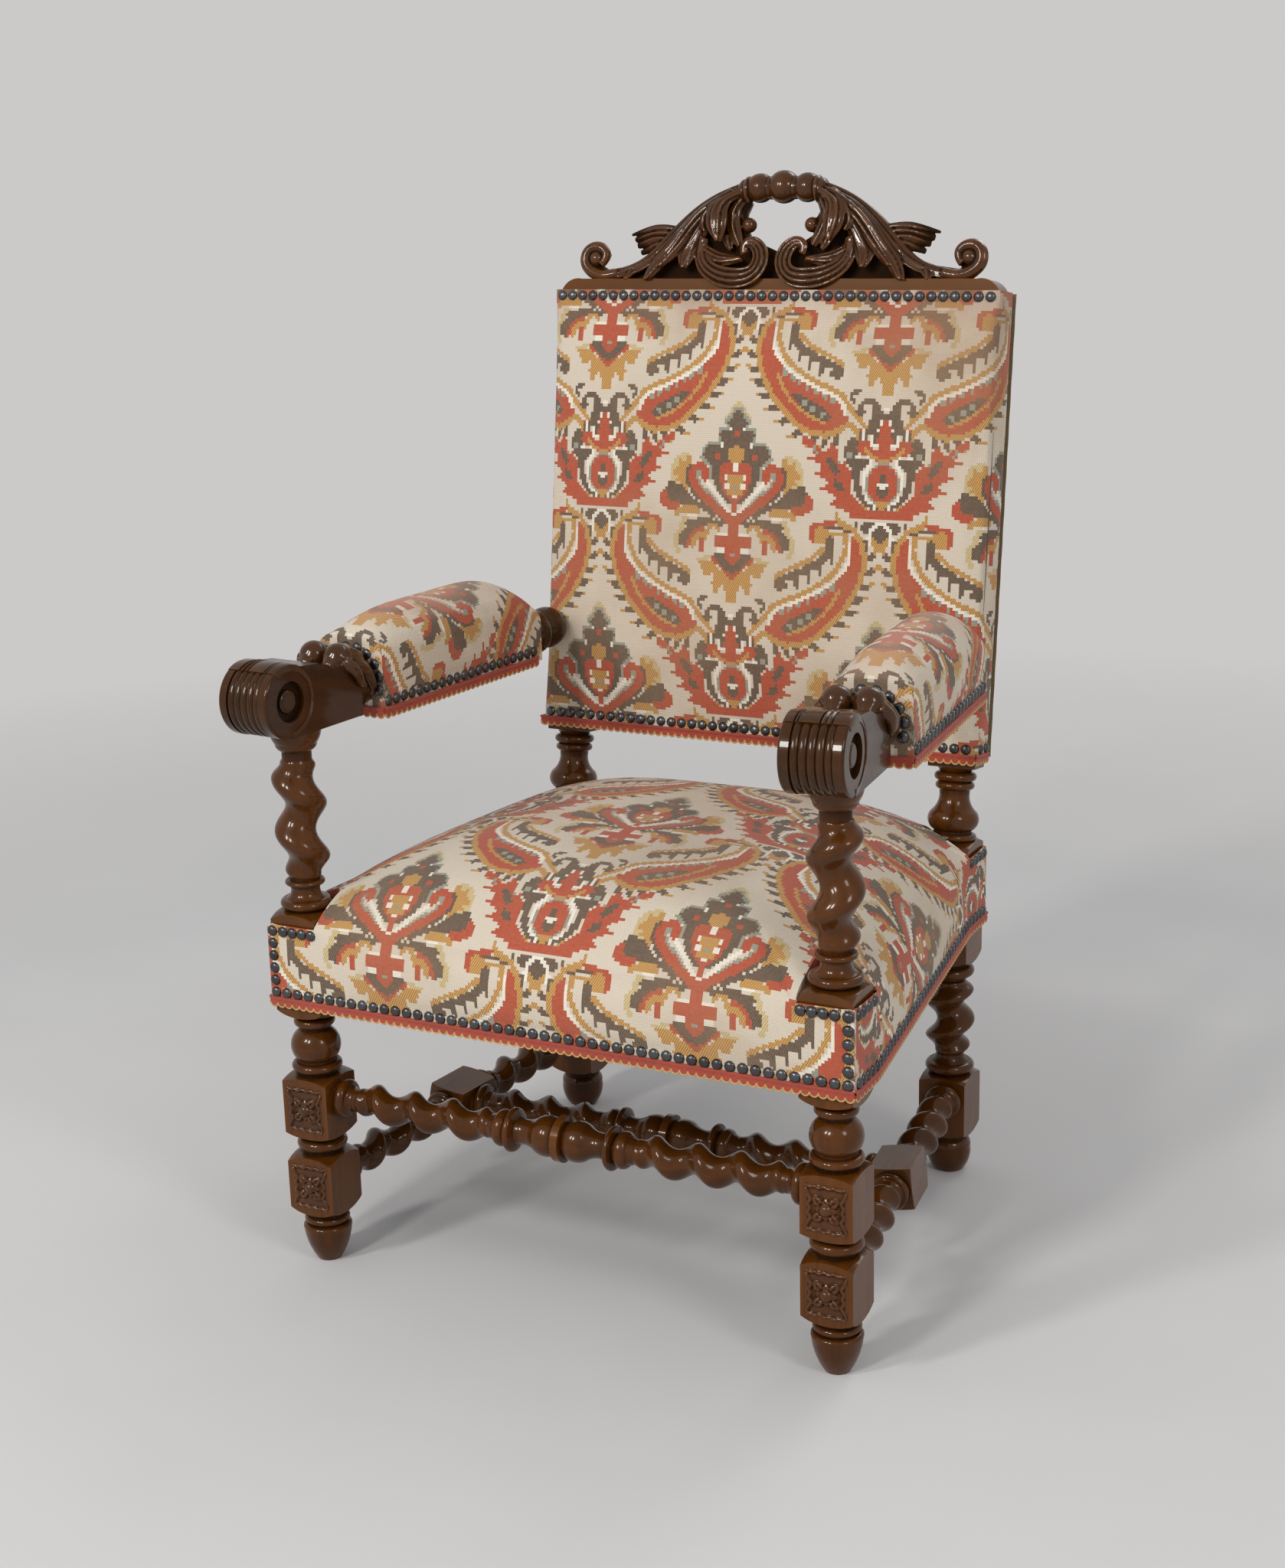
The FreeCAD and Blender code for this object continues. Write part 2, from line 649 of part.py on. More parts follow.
def side_rail(label):
    """The right seat rail: a slanted bar with a square tenon into each post."""
    body = doc.addObject("PartDesign::Body", label)
    body.Label = label
    outer_front, outer_back = INNER_FRONT_X + " + sizes.rail_thick", INNER_BACK_X + " + sizes.rail_thick"
    outline_pad(body, label + "_bar", [(outer_front, HALF_SIDE), (outer_back, BACK_FACE_Y),
                                       (INNER_BACK_X, BACK_FACE_Y), (INNER_FRONT_X, HALF_SIDE)],
                mm("rail_low"), "sizes.rail_height")
    inset = "(sizes.rail_thick - sizes.rail_tenon_thick) / 2"
    ends = (("front", INNER_FRONT_X, HALF_SIDE, HALF_SIDE + " - sizes.rail_tenon_length"),
            ("back", INNER_BACK_X, BACK_FACE_Y + " + sizes.rail_tenon_length", BACK_FACE_Y))
    for end, inner, y_high, y_low in ends:
        near, far = f"{inner} + {inset}", f"{inner} + {inset} + sizes.rail_tenon_thick"
        outline_pad(body, f"{label}_{end}_tenon",
                    [(near, y_low), (far, y_low), (far, y_high), (near, y_high)],
                    mm("rail_low") + mm("rail_tenon_margin"), TENON_TALL)
    body.Placement = PLAN
    return body


def rail_mortises():
    """What the four rail tenons take out of the right posts, with the fit around them."""
    fit, length, thick = mm("fit"), mm("rail_tenon_length"), mm("rail_tenon_thick")
    low, high = mm("rail_low") + mm("rail_tenon_margin") - fit, rail_top - mm("rail_tenon_margin") + fit
    inset = (mm("rail_thick") - thick) / 2
    cutters = []
    for spread, y_low in ((mm("front_spread"), front_y - half_post),
                          (mm("back_spread"), back_y + half_post - mm("rail_thick"))):
        face = spread - half_post
        cutters.append(box(face - fit, face + length + fit, y_low + inset - fit,
                           y_low + inset + thick + fit, low, high))
    for outer, face, sign in ((side_x, front_y + half_post, -1), (rear_x, back_y - half_post, 1)):
        x_low = outer - mm("rail_thick") + inset
        y_ends = sorted((face - sign * fit, face + sign * (length + fit)))
        cutters.append(box(x_low - fit, x_low + thick + fit, y_ends[0], y_ends[1], low, high))
    return cutters


# Corner blocks and their screws

rail_slope = (mm("back_spread") - mm("front_spread")) / (mm("seat_depth") - mm("post_side"))
block_low = mm("rail_low") + (mm("rail_height") - mm("corner_block_height")) / 2


def block_corners(front):
    """Plan of a right corner block that fits round its post, from the rail's side to the diagonal's end."""
    reach, thick = mm("corner_block_reach"), mm("rail_thick")
    if front:
        post_x, post_y = mm("front_spread") - half_post, front_y + half_post
        rail_y, side, way = front_y - half_post + thick, side_x - thick, 1
    else:
        post_x, post_y = mm("back_spread") - half_post, back_y - half_post
        rail_y, side, way = back_y + half_post - thick, rear_x - thick, -1
    return [Vector(post_x - reach, rail_y, block_low), Vector(post_x, rail_y, block_low),
            Vector(post_x, post_y, block_low), Vector(side, post_y, block_low),
            Vector(side + way * rail_slope * reach, post_y + way * reach, block_low)]


def block_screws(front):
    """Heads and shanks of the two screws of a right corner block, as (start, end) of each screw."""
    corners = block_corners(front)
    run = corners[4] - corners[0]
    rise = Vector(0, 0, mm("corner_block_height") / 2)
    way = -1 if front else 1
    first = corners[0] + run * 0.34 + rise
    second = corners[0] + run * 0.7 + rise + Vector(0, 0, mm("screw_head_radius") * 2)
    length = mm("screw_length")
    return [(first, first + Vector(0, way * length, 0)), (second, second + Vector(length, 0, 0))]


def screw(start, end, grow):
    """A screw with its head sunk into the block; grow widens it into the hole that takes it."""
    run = (end - start).normalize()
    head_start = start + run * mm("screw_head_length")
    room = mm("corner_block_reach") / 4 if grow else 0
    head = rod(mm("screw_head_radius") + grow, head_start - run * room,
               head_start + run * (mm("screw_head_length") + grow))
    shank = rod(mm("screw_radius") + grow, head_start, end + run * grow)
    return head.fuse(shank)


def corner_pieces():
    """The four corner blocks, their screws and the holes for them, as three lists."""
    blocks, screws, holes = [], [], []
    for front in (True, False):
        corners = block_corners(front)
        solid = Part.Face(Part.makePolygon(corners + corners[:1])).extrude(
            Vector(0, 0, mm("corner_block_height")))
        pins = [screw(start, end, 0) for start, end in block_screws(front)]
        bores = [screw(start, end, mm("fit")) for start, end in block_screws(front)]
        solid = cut_all(solid, bores)
        blocks += [solid, mirrored(solid)]
        screws += pins + [mirrored(pin) for pin in pins]
        holes += bores + [mirrored(bore) for bore in bores]
    return blocks, screws, holes


# Seat filling

def side_at(y):
    """Outer half width of the seat frame at a distance from front to back."""
    share = (y - front_y - half_post) / (mm("seat_depth") - mm("post_side"))
    share = min(1.0, max(0.0, share))
    return side_x + (rear_x - side_x) * share


def seat_sheet(label, low, thick):
    """A flat cloth over or under the seat frame, cut round the four posts."""
    body = doc.addObject("PartDesign::Body", label)
    body.Label = label
    post_front = f"sizes.front_spread - {HALF_SIDE}"
    post_back = f"sizes.back_spread - {HALF_SIDE}"
    gap = "sizes.cloth_gap"
    front_edge = f"{gap} - sizes.post_side / 2"
    back_edge = f"sizes.seat_depth + sizes.post_side / 2 - {gap}"
    right = [(f"{post_front} - {gap}", front_edge), (f"{post_front} - {gap}", f"{HALF_SIDE} + {gap}"),
             (f"sizes.front_spread + {HALF_SIDE} - 3 * {gap}", f"{HALF_SIDE} + {gap}"),
             (f"sizes.back_spread + {HALF_SIDE} - {gap}", f"{BACK_FACE_Y} - {gap}"),
             (f"{post_back} - {gap}", f"{BACK_FACE_Y} - {gap}"), (f"{post_back} - {gap}", back_edge)]
    left = [(f"-({across})", along) for across, along in reversed(right)]
    outline_pad(body, label + "_sheet", right + left, low, thick)
    body.Placement = PLAN
    return body


STRAP_SHARES = (0.2, 0.4, 0.6, 0.8)
SPRING_SHARES = (0.2, 0.5, 0.8)


def seat_webbing():
    """Straps nailed under the seat rails: one layer across and one layer from front to back."""
    half_web, thick, low = mm("web_width") / 2, mm("web_thick"), mm("rail_low")
    rails = mm("rail_thick") * 0.7
    straps = []
    for share in STRAP_SHARES:
        y = front_y + mm("seat_depth") * share
        half = side_at(y + half_web) - mm("rail_thick") + rails
        straps.append(box(-half, half, y - half_web, y + half_web, low - thick, low))
        x = (2 * share - 1) * (mm("back_spread") - half_post)
        straps.append(box(x - half_web, x + half_web, front_y - half_post + mm("rail_thick") - rails,
                          back_y + half_post - mm("rail_thick") + rails, low - 2 * thick, low - thick))
    return Part.makeCompound(straps)


def seat_springs():
    """Nine coil springs that stand on the webbing and carry the canvas."""
    wire = mm("spring_wire_radius")
    radius, tall = mm("spring_radius"), mm("rail_height") - 2 * wire
    section = Part.Wire([Part.Circle(Vector(0, 0, 0), Y_AXIS, wire).toShape()])
    tilt = math.degrees(math.atan2(mm("spring_pitch"), 2 * math.pi * radius))
    count = round(12 * tall / mm("spring_pitch"))
    sections = []
    for index in range(count + 1):
        turn = 360 * tall / mm("spring_pitch") * index / count
        place = Rotation(Z_AXIS, turn).multVec(Vector(radius, 0, 0)) + Z_AXIS * (tall * index / count)
        sections.append(placed(section, Placement(place, Rotation(Z_AXIS, turn) * Rotation(X_AXIS, tilt))))
    coil = Part.makeLoft(sections, True, True)
    springs = []
    for along in SPRING_SHARES:
        y = front_y + mm("seat_depth") * along
        for across in SPRING_SHARES:
            x = (2 * across - 1) * (side_at(y) - mm("rail_thick"))
            place = Placement(Vector(x, y, mm("rail_low") + wire), Rotation())
            springs.append(placed(coil, place))
    return Part.makeCompound(springs)


# Padded forms: a round-shouldered section carried along a line

def padded_section(half, low, edge, crown, shoulder, place):
    """A closed section: flat base, straight sides, round shoulders and an arched top."""
    slope = math.atan2(2 * max(crown - edge - shoulder, 0), half - shoulder)
    reach = Vector(half - shoulder * (1 - math.sin(slope)), 0, edge + shoulder * math.cos(slope))
    turn = (math.pi / 2 - slope) / 2
    bend = Vector(half - shoulder * (1 - math.cos(turn)), 0, edge + shoulder * math.sin(turn))
    top = Vector(0, 0, max(crown, reach.z + shoulder / 50))
    flip = lambda point: Vector(-point.x, 0, point.z)
    side = Vector(half, 0, edge)
    foot = Vector(half, 0, low)
    edges = [Part.makeLine(flip(foot), foot), Part.makeLine(foot, side),
             Part.Arc(side, bend, reach).toShape(), Part.Arc(reach, top, flip(reach)).toShape(),
             Part.Arc(flip(reach), flip(bend), flip(side)).toShape(),
             Part.makeLine(flip(side), flip(foot))]
    return placed(Part.Wire(edges), place)


def swell(share, sharpness):
    """Rise of a padded top: nought at either end and one in the middle."""
    return (1 - abs(2 * share - 1) ** sharpness) ** 0.75


def stations(count):
    """Shares along a padded form, closer together towards its ends."""
    return [(1 - math.cos(math.pi * index / count)) / 2 for index in range(count + 1)]


def seat_form(inset, low):
    """The seat's outer form, drawn in by an inset all round."""
    outer = mm("cloth_gap") + mm("cloth_thick") - inset
    y_low, y_high = front_y - half_post - outer, back_y + half_post + outer
    bends = [front_y + half_post, back_y - half_post]
    inner = [bends[0] + (bends[1] - bends[0]) * share for share in stations(26)]
    wires = []
    for y in [y_low, front_y, *inner, back_y, y_high]:
        rise = swell((y - y_low) / (y_high - y_low), 2.6)
        clear = min(1.0, max(0.0, min(y - bends[0], bends[1] - y)) / mm("seat_shoulder"))
        shoulder = mm("post_shoulder") + (mm("seat_shoulder") - mm("post_shoulder")) * clear
        edge = mm("seat_edge_height") + mm("seat_shoulder") * (1 + 0.3 * rise) - shoulder
        crown = mm("seat_front_height") + mm("seat_crown") * rise - inset
        wires.append(padded_section(side_at(y) + outer, low, edge, crown, shoulder,
                                    Placement(Vector(0, y, 0), Rotation())))
    return Part.makeLoft(wires, True, True)


def post_rooms(grow):
    """Room for the four post blocks inside the seat."""
    wide = half_post + grow
    rooms = [box(spread - wide, spread + wide, y - wide, y + wide, mm("rail_low"), mm("seat_block_top"))
             for spread, y in ((mm("front_spread"), front_y), (mm("back_spread"), back_y))]
    return rooms + [mirrored(room) for room in rooms]


def post_notches(grow):
    """Room above the seat's sides for the four post blocks, open to the outside."""
    wide, tall = half_post + grow, mm("notch_height")
    top = mm("seat_block_top") + mm("seat_crown") + mm("overrun")
    reach = mm("post_side")
    notches = []
    for spread, y, way in ((mm("front_spread"), front_y, -1), (mm("back_spread"), back_y, 1)):
        y_ends = sorted((y - way * wide, y + way * reach))
        notch = box(spread - wide, spread + reach, y_ends[0], y_ends[1], tall, top)
        notches += [notch, mirrored(notch)]
    return notches


def back_form(inset, grow):
    """The padded back in the leaning plane, drawn in at the front and sides and grown at both ends."""
    half = rear_x + mm("cloth_gap") + mm("cloth_thick") - inset
    low, high = mm("back_low") - mm("overrun"), mm("back_top") + mm("overrun")
    first, last = mm("back_low") + mm("back_band"), mm("back_top") - mm("back_band")
    wires = []
    for up in [low, *(first + (last - first) * share for share in stations(22)), high]:
        rise = swell(min(1, max(0, (up - first) / (last - first))), 3.2)
        edge = mm("back_edge") - mm("back_shoulder") - inset + mm("back_shoulder") * 0.4 * rise
        crown = mm("back_edge") + mm("back_crown") * rise - inset
        turn = Rotation(X_AXIS, 90)
        wires.append(padded_section(half, -mm("stile_back"), edge, crown, mm("back_shoulder"),
                                    Placement(Vector(0, 0, up), turn)))
    deep = mm("post_side") * 2
    slab = box(-rear_x * 2, rear_x * 2, -deep, deep, mm("back_low") - grow, mm("back_top") + grow)
    return Part.makeLoft(wires, True, True).common(slab)


def pad_form(inset, low):
    """An arm pad's outer form in the arm's own frame, drawn in by an inset."""
    front, back = mm("pad_front") + inset, pad_back - inset
    wires = []
    for share in stations(12):
        along = front + (back - front) * share
        fall = max(0.0, (share - 0.62) / 0.38)
        rise = swell(0.5 * min(1.0, share * 2.6), 3) if share < 0.5 else 1 - fall ** 2.2
        drop = (mm("pad_shoulder") * 1.4) * fall ** 2.4
        edge = (mm("arm_under") + mm("pad_edge_rise") + mm("pad_shoulder") * 0.6 * min(1, share * 4)
                - drop * 1.5)
        crown = mm("arm_under") + mm("pad_front_rise") + mm("pad_crown") * rise - inset - drop * 0.6
        wires.append(padded_section(mm("pad_half") - inset, low, edge, crown, mm("pad_shoulder"),
                                    Placement(Vector(mm("pad_shift"), along, 0), Rotation())))
    return Part.makeLoft(wires, True, False)


# Nails and braid

def nail():
    """A domed nail head about Z, with its flat face at the height zero."""
    radius, rise = mm("nail_radius"), mm("nail_rise")
    return lathe([(0, radius, 0), (rise * 0.55, radius * 0.84, 0), (rise, radius * 0.3, 0)])


def nails_at(places, outward):
    """A nail head at each place, facing outward."""
    head = nail()
    turn = Rotation(Z_AXIS, outward)
    return [placed(head, Placement(place, turn)) for place in places]


def row(start, end):
    """Evenly spaced places from one end of a row to the other, close to the nail pitch."""
    count = max(1, round((end - start).Length / mm("nail_pitch")))
    return [start + (end - start) * (index / count) for index in range(count + 1)]


def seat_nails():
    """Rows along the seat's lower edge and under the tops of the four blocks."""
    margin, line = mm("nail_side_margin"), mm("nail_line")
    lift = mm("fit")
    skin = half_post + mm("cloth_gap") + mm("cloth_thick") + lift
    top = mm("notch_height") - margin
    face_y = front_y - skin
    end = side_x - margin / 2
    heads = nails_at(row(Vector(-end, face_y, line), Vector(end, face_y, line)), Vector(0, -1, 0))
    right = nails_at(row(Vector(end, face_y, line + mm("nail_pitch")), Vector(end, face_y, top))
                     + row(Vector(mm("front_spread") - half_post + margin / 2, face_y, top),
                           Vector(end - mm("nail_pitch"), face_y, top)), Vector(0, -1, 0))
    front_corner = Vector(side_x + skin - half_post, front_y - half_post + margin, 0)
    front_bend = Vector(side_x + skin - half_post, front_y + half_post, 0)
    back_bend = Vector(rear_x + skin - half_post, back_y - half_post, 0)
    back_corner = Vector(rear_x + skin - half_post, back_y + half_post - margin, 0)
    up, high = Vector(0, 0, line), Vector(0, 0, top)
    slant = back_bend - front_bend
    out = Vector(slant.y, -slant.x, 0).normalize()
    step = slant * (mm("nail_pitch") / slant.Length)
    right += nails_at(row(front_corner + up, front_bend + up)[:-1] + row(back_bend + up, back_corner + up)
                      + row(front_corner + high, front_bend + high - Vector(0, margin, 0))
                      + row(back_bend + high + Vector(0, margin, 0), back_corner + high), X_AXIS)
    right += nails_at(row(front_bend + up, back_bend + up - step), out)
    return Part.makeCompound(heads + right + [mirrored(head) for head in right])


def seat_braid():
    """A flat braid round the seat's lower edge, outside the cloth and under the nails."""
    low, tall, thick = mm("braid_low"), mm("braid_width"), mm("braid_thick")
    skin = mm("cloth_gap") + mm("cloth_thick") + mm("fit") / 2

    def plan(grow):
        right = [Vector(side_x + grow, front_y - half_post - grow, low),
                 Vector(side_x + grow, front_y + half_post, low),
                 Vector(rear_x + grow, back_y - half_post, low),
                 Vector(rear_x + grow, back_y + half_post + grow, low)]
        points = right + [Vector(-point.x, point.y, low) for point in reversed(right)]
        return Part.Face(Part.makePolygon(points + points[:1])).extrude(Vector(0, 0, tall))
    return plan(skin + thick).cut(plan(skin))


# Back frame, in the leaning plane: X across, Y backwards and Z up the back

def back_bottom_rail():
    """The rail across the foot of the back, with a tenon at each end."""
    half, low = mm("back_spread") - half_post, mm("back_low")
    front = -mm("stile_front")
    tall, thick, length = mm("back_rail_height"), mm("back_rail_thick"), mm("rail_tenon_length")
    inset = (thick - mm("rail_tenon_thick")) / 2
    margin = mm("rail_tenon_margin")
    rail = box(-half, half, front, front + thick, low, low + tall)
    tenon = box(-half - length, half + length, front + inset, front + thick - inset,
                low + margin, low + tall - margin)
    return join([rail, tenon])


def back_rail_mortise():
    """What the bottom rail's tenon takes out of the right stile."""
    fit, face = mm("fit"), mm("back_spread") - half_post
    inset = (mm("back_rail_thick") - mm("rail_tenon_thick")) / 2
    margin = mm("rail_tenon_margin")
    return box(face - fit, face + mm("rail_tenon_length") + fit, inset - mm("stile_front") - fit,
               mm("back_rail_thick") - mm("stile_front") - inset + fit, mm("back_low") + margin - fit,
               mm("back_low") + mm("back_rail_height") - margin + fit)


def back_top_rail():
    """The rail over both stiles, with drooping ends, mortised for the stiles and bored for the dowels."""
    half, low, top, arch = mm("top_rail_half"), mm("top_rail_low"), mm("top_rail_top"), mm("top_rail_arch")
    front = -mm("stile_front")
    right = [Vector(half, front, low), Vector(half, front, top - arch / 2)]
    crown = Vector(half - arch, front, top)
    bend = Vector(half - arch * 0.3, front, top - arch * 0.14)
    flip = lambda point: Vector(-point.x, point.y, point.z)
    edges = [Part.makeLine(flip(right[0]), right[0]), Part.makeLine(*right),
             Part.Arc(right[1], bend, crown).toShape(), Part.makeLine(crown, flip(crown)),
             Part.Arc(flip(crown), flip(bend), flip(right[1])).toShape(),
             Part.makeLine(flip(right[1]), flip(right[0]))]
    rail = Part.Face(Part.Wire(edges)).extrude(Vector(0, mm("stile_front") + mm("stile_back"), 0))
    fit, side = mm("fit"), mm("stile_tenon_side") / 2
    middle = (mm("stile_back") - mm("stile_front")) / 2
    deep = mm("stile_tenon_thick") / 2 + fit
    spread = mm("back_spread")
    mortise = box(spread - side - fit, spread + side + fit, middle - deep, middle + deep,
                  low - mm("overrun"), low + mm("stile_tenon_height") + fit)
    bores = [rod(mm("dowel_radius") + fit, start - Z_AXIS * fit, start + Z_AXIS * mm("dowel_length"))
             for start in dowel_starts()]
    return cut_all(rail, [mortise, mirrored(mortise)] + bores)


DOWEL_SHARES = (-0.62, -0.16, 0.16, 0.62)


def dowel_starts():
    """Lower ends of the dowels between the top rail and the crest."""
    middle = (mm("stile_back") - mm("stile_front")) / 2
    low = mm("top_rail_top") - mm("dowel_length") / 2
    return [Vector(mm("volute_across") * share, middle, low) for share in DOWEL_SHARES]


BACK_STRAP_SHARES = (0.12, 0.42, 0.68, 0.9)
BACK_UPRIGHT_SHARES = (-0.6, 0.0, 0.6)


def back_webbing():
    """Straps on the front of the back frame: one layer across and one layer up and down."""
    half_web, thick = mm("web_width") / 2, mm("web_thick")
    front, low, top = -mm("stile_front"), mm("back_low"), mm("back_top")
    reach = mm("back_spread") + half_post * 0.6
    straps = []
    for share in BACK_STRAP_SHARES:
        up = low + (top - low) * share
        straps.append(box(-reach, reach, front - thick, front, up - half_web, up + half_web))
    for share in BACK_UPRIGHT_SHARES:
        x = share * (mm("back_spread") - half_post)
        straps.append(box(x - half_web, x + half_web, front - 2 * thick, front - thick,
                          low + mm("back_band"), top - mm("back_band")))
    return Part.makeCompound(straps)


def back_stuffing():
    """The pad between the webbing and the cloth of the back."""
    fit = mm("fit")
    form = back_form(mm("cloth_thick") + fit, -fit)
    front = -mm("stile_front") - 2 * mm("web_thick") - fit
    return form.cut(box(-rear_x * 2, rear_x * 2, front, mm("stile_back") * 2, 0, mm("back_top") * 2))


def back_cover():
    """The cloth over the front and sides of the back."""
    return back_form(0, 0).cut(back_form(mm("cloth_thick"), mm("overrun") / 2))


def back_nails():
    """Rows of nails along the top and the bottom of the back, and round its lower corners."""
    margin, lift = mm("nail_side_margin"), mm("fit")
    face = -mm("back_edge") - lift
    skin = rear_x + mm("cloth_gap") + mm("cloth_thick")
    end = skin - mm("back_shoulder") - margin / 3
    heads = []
    for up in (mm("back_nail_low"), mm("back_nail_top")):
        heads += nails_at(row(Vector(-end, face, up), Vector(end, face, up)), Vector(0, -1, 0))
    start = Vector(skin + lift, mm("back_shoulder") - mm("back_edge") + margin, mm("back_nail_low"))
    stop = Vector(skin + lift, mm("stile_back") - margin, mm("back_nail_low"))
    sides = nails_at(row(start, stop), X_AXIS)
    return Part.makeCompound(heads + sides + [mirrored(head) for head in sides])


def back_braid():
    """The braid along the foot of the back's cloth, turned round its two sides."""
    low, tall, thick = mm("back_low") - mm("back_braid_width") / 3, mm("back_braid_width"), mm("braid_thick")
    half = rear_x + mm("cloth_gap") + mm("cloth_thick") + mm("fit") / 2
    front = -mm("back_edge") - mm("fit")
    outer = box(-half - thick, half + thick, front - thick, mm("stile_back"), low, low + tall)
    inner = box(-half, half, front, mm("stile_back") + mm("overrun"), low - mm("overrun"), low + tall * 2)
    return outer.cut(inner)


# Arms, in the arm's own frame: X outwards, Y back along the arm and Z up

ARM_TOP_SHARES = ((0.42, 0.93), (0.62, 0.80), (1.0, 0.76))


def arm():
    """The right arm: reeded scroll, knobs, bell, flat rail under the pad and two beads."""
    radius, half, height = mm("scroll_radius"), mm("scroll_half"), scroll_height
    forward, depth = mm("scroll_forward"), mm("reed_depth")
    band = half * 0.66
    reed = 2 * band / 5
    steps = [(-half, radius - depth, 0), (-half + depth, radius, depth / 4), (-band, radius, 0),
             (-band, radius - depth, 0)]
    steps += [(-band + reed * (index + 1), radius - depth, depth * 0.9) for index in range(5)]
    steps += [(band, radius, 0), (half - depth, radius, 0), (half, radius - depth, depth / 4)]
    scroll_place = Placement(Vector(0, -forward, height), ACROSS)
    drum = placed(lathe(steps), scroll_place)
    under, notch_y = mm("arm_under"), mm("arm_notch_along")
    notch_z = under + mm("arm_notch_rise")
    top = height + radius - depth
    rise = top - under
    outline = [Vector(-half, -forward, under), Vector(-half, notch_y, under), Vector(-half, notch_y, notch_z)]
    outline += [Vector(-half, -forward + (notch_y + forward) * along, under + rise * up)
                for along, up in reversed(ARM_TOP_SHARES)]
    outline.append(Vector(-half, -forward, top))
    block = Part.Face(Part.makePolygon(outline + outline[:1])).extrude(Vector(2 * half, 0, 0))
    eye = lathe([(half - mm("eye_depth"), mm("eye_radius"), 0), (half + mm("overrun"), mm("eye_radius"), 0)])
    eye = placed(eye, scroll_place)
    boss = lathe([(half - mm("eye_depth") * 1.5, mm("eye_boss_radius"), 0),
                  (half - mm("eye_depth") * 0.6, mm("eye_boss_radius"), 0),
                  (half - mm("eye_depth") * 0.3, mm("eye_boss_radius") * 0.6, mm("eye_depth") / 8)])
    boss = placed(boss, scroll_place)
    solid = join([drum, block]).cut(eye).cut(mirrored(eye))
    solid = join([solid, boss, mirrored(boss)])
    for side in (-1, 1):
        centre = Vector(side * mm("knob_apart"), mm("knob_along"),
                        under + rise * ARM_TOP_SHARES[-1][1] + mm("knob_rise"))
        solid = solid.fuse(Part.makeSphere(mm("knob_radius"), centre))
    pad_front, wall = mm("pad_front"), mm("cloth_thick") + mm("cloth_gap")
    bell_root = mm("bell_radius") * 0.7
    bell = lathe([(notch_y - bell_root, bell_root, 0), (notch_y, bell_root, 0),
                  (pad_front, mm("bell_radius"), bell_root / 12),
                  (pad_front + wall + mm("overrun"), mm("bell_radius"), 0)])
    along_y = Rotation(X_AXIS, -90)
    bell = placed(bell, Placement(Vector(0, 0, bell_height), along_y))
    rail_half = mm("pad_half") - wall
    rail = box(mm("pad_shift") - rail_half, mm("pad_shift") + rail_half, pad_front + wall,
               pad_back - wall, pad_low + mm("cloth_gap"), arm_rail_top)
    start = pad_back
    valley, bead, small = mm("bead_valley_radius"), mm("bead_radius"), mm("small_bead_radius")
    first, second = start + bead * 0.6, start + bead * 1.85
    tenon = mm("arm_tenon_radius")
    last = second + small * 1.25
    rear = lathe([(start - wall - mm("overrun"), valley * 0.95, 0)]
                 + [(first, valley * 0.95, 0)]
                 + ring(first + valley / 20, second - valley / 20, bead, valley)[1:]
                 + ring(second, last, small, valley)
                 + [(last + small / 8, tenon * 1.2, -small / 30), (last + small / 8, tenon, 0),
                    (arm_tip + mm("arm_tenon_length"), tenon, 0)])
    rear = placed(rear, Placement(Vector(0, 0, arm_axis_height), along_y))
    return join([solid, bell, rail, rear])


def arm_bore(fit):
    """What an arm's tenon takes out of the stile, or out of the cloth and stuffing in front of it."""
    start = Vector(0, arm_tip - mm("overrun") * 8, arm_axis_height)
    end = Vector(0, arm_tip + mm("arm_tenon_length") + fit, arm_axis_height)
    return placed(rod(mm("arm_tenon_radius") + fit, start, end), ARM_FRAME)


def post_hole():
    """The hole in an arm for the tenon of its front post."""
    start = Vector(mm("front_spread"), front_y, mm("arm_under") - mm("overrun"))
    return rod(mm("post_tenon_radius") + mm("fit"), start,
               start + Z_AXIS * (mm("overrun") + mm("post_tenon_length") + mm("fit")))


def necks():
    """The arm's two necks, widened, where they pass through the pad's cloth."""
    front = rod(mm("bell_radius") + mm("cloth_gap"),
                Vector(0, mm("pad_front") - mm("overrun"), bell_height),
                Vector(0, mm("pad_front") + mm("overrun") * 2, bell_height))
    back = rod(mm("bead_valley_radius") + mm("cloth_gap"),
               Vector(0, pad_back - mm("overrun") * 2, arm_axis_height),
               Vector(0, pad_back + mm("overrun"), arm_axis_height))
    return [front, back]


def arm_pad():
    """The stuffing on top of an arm's rail."""
    gap = mm("cloth_thick") + mm("fit")
    form = pad_form(gap, pad_low)
    wide = mm("pad_half") * 2
    rail = box(-wide, wide, 0, pad_back + wide, 0, arm_rail_top + mm("fit"))
    return placed(cut_all(form, necks() + [rail]), ARM_FRAME)


def arm_cover():
    """The cloth over an arm's pad, open below and cut round the arm's necks."""
    outer = pad_form(0, pad_low)
    inner = pad_form(mm("cloth_thick"), pad_low - mm("overrun"))
    return placed(cut_all(outer, [inner] + necks()), ARM_FRAME)


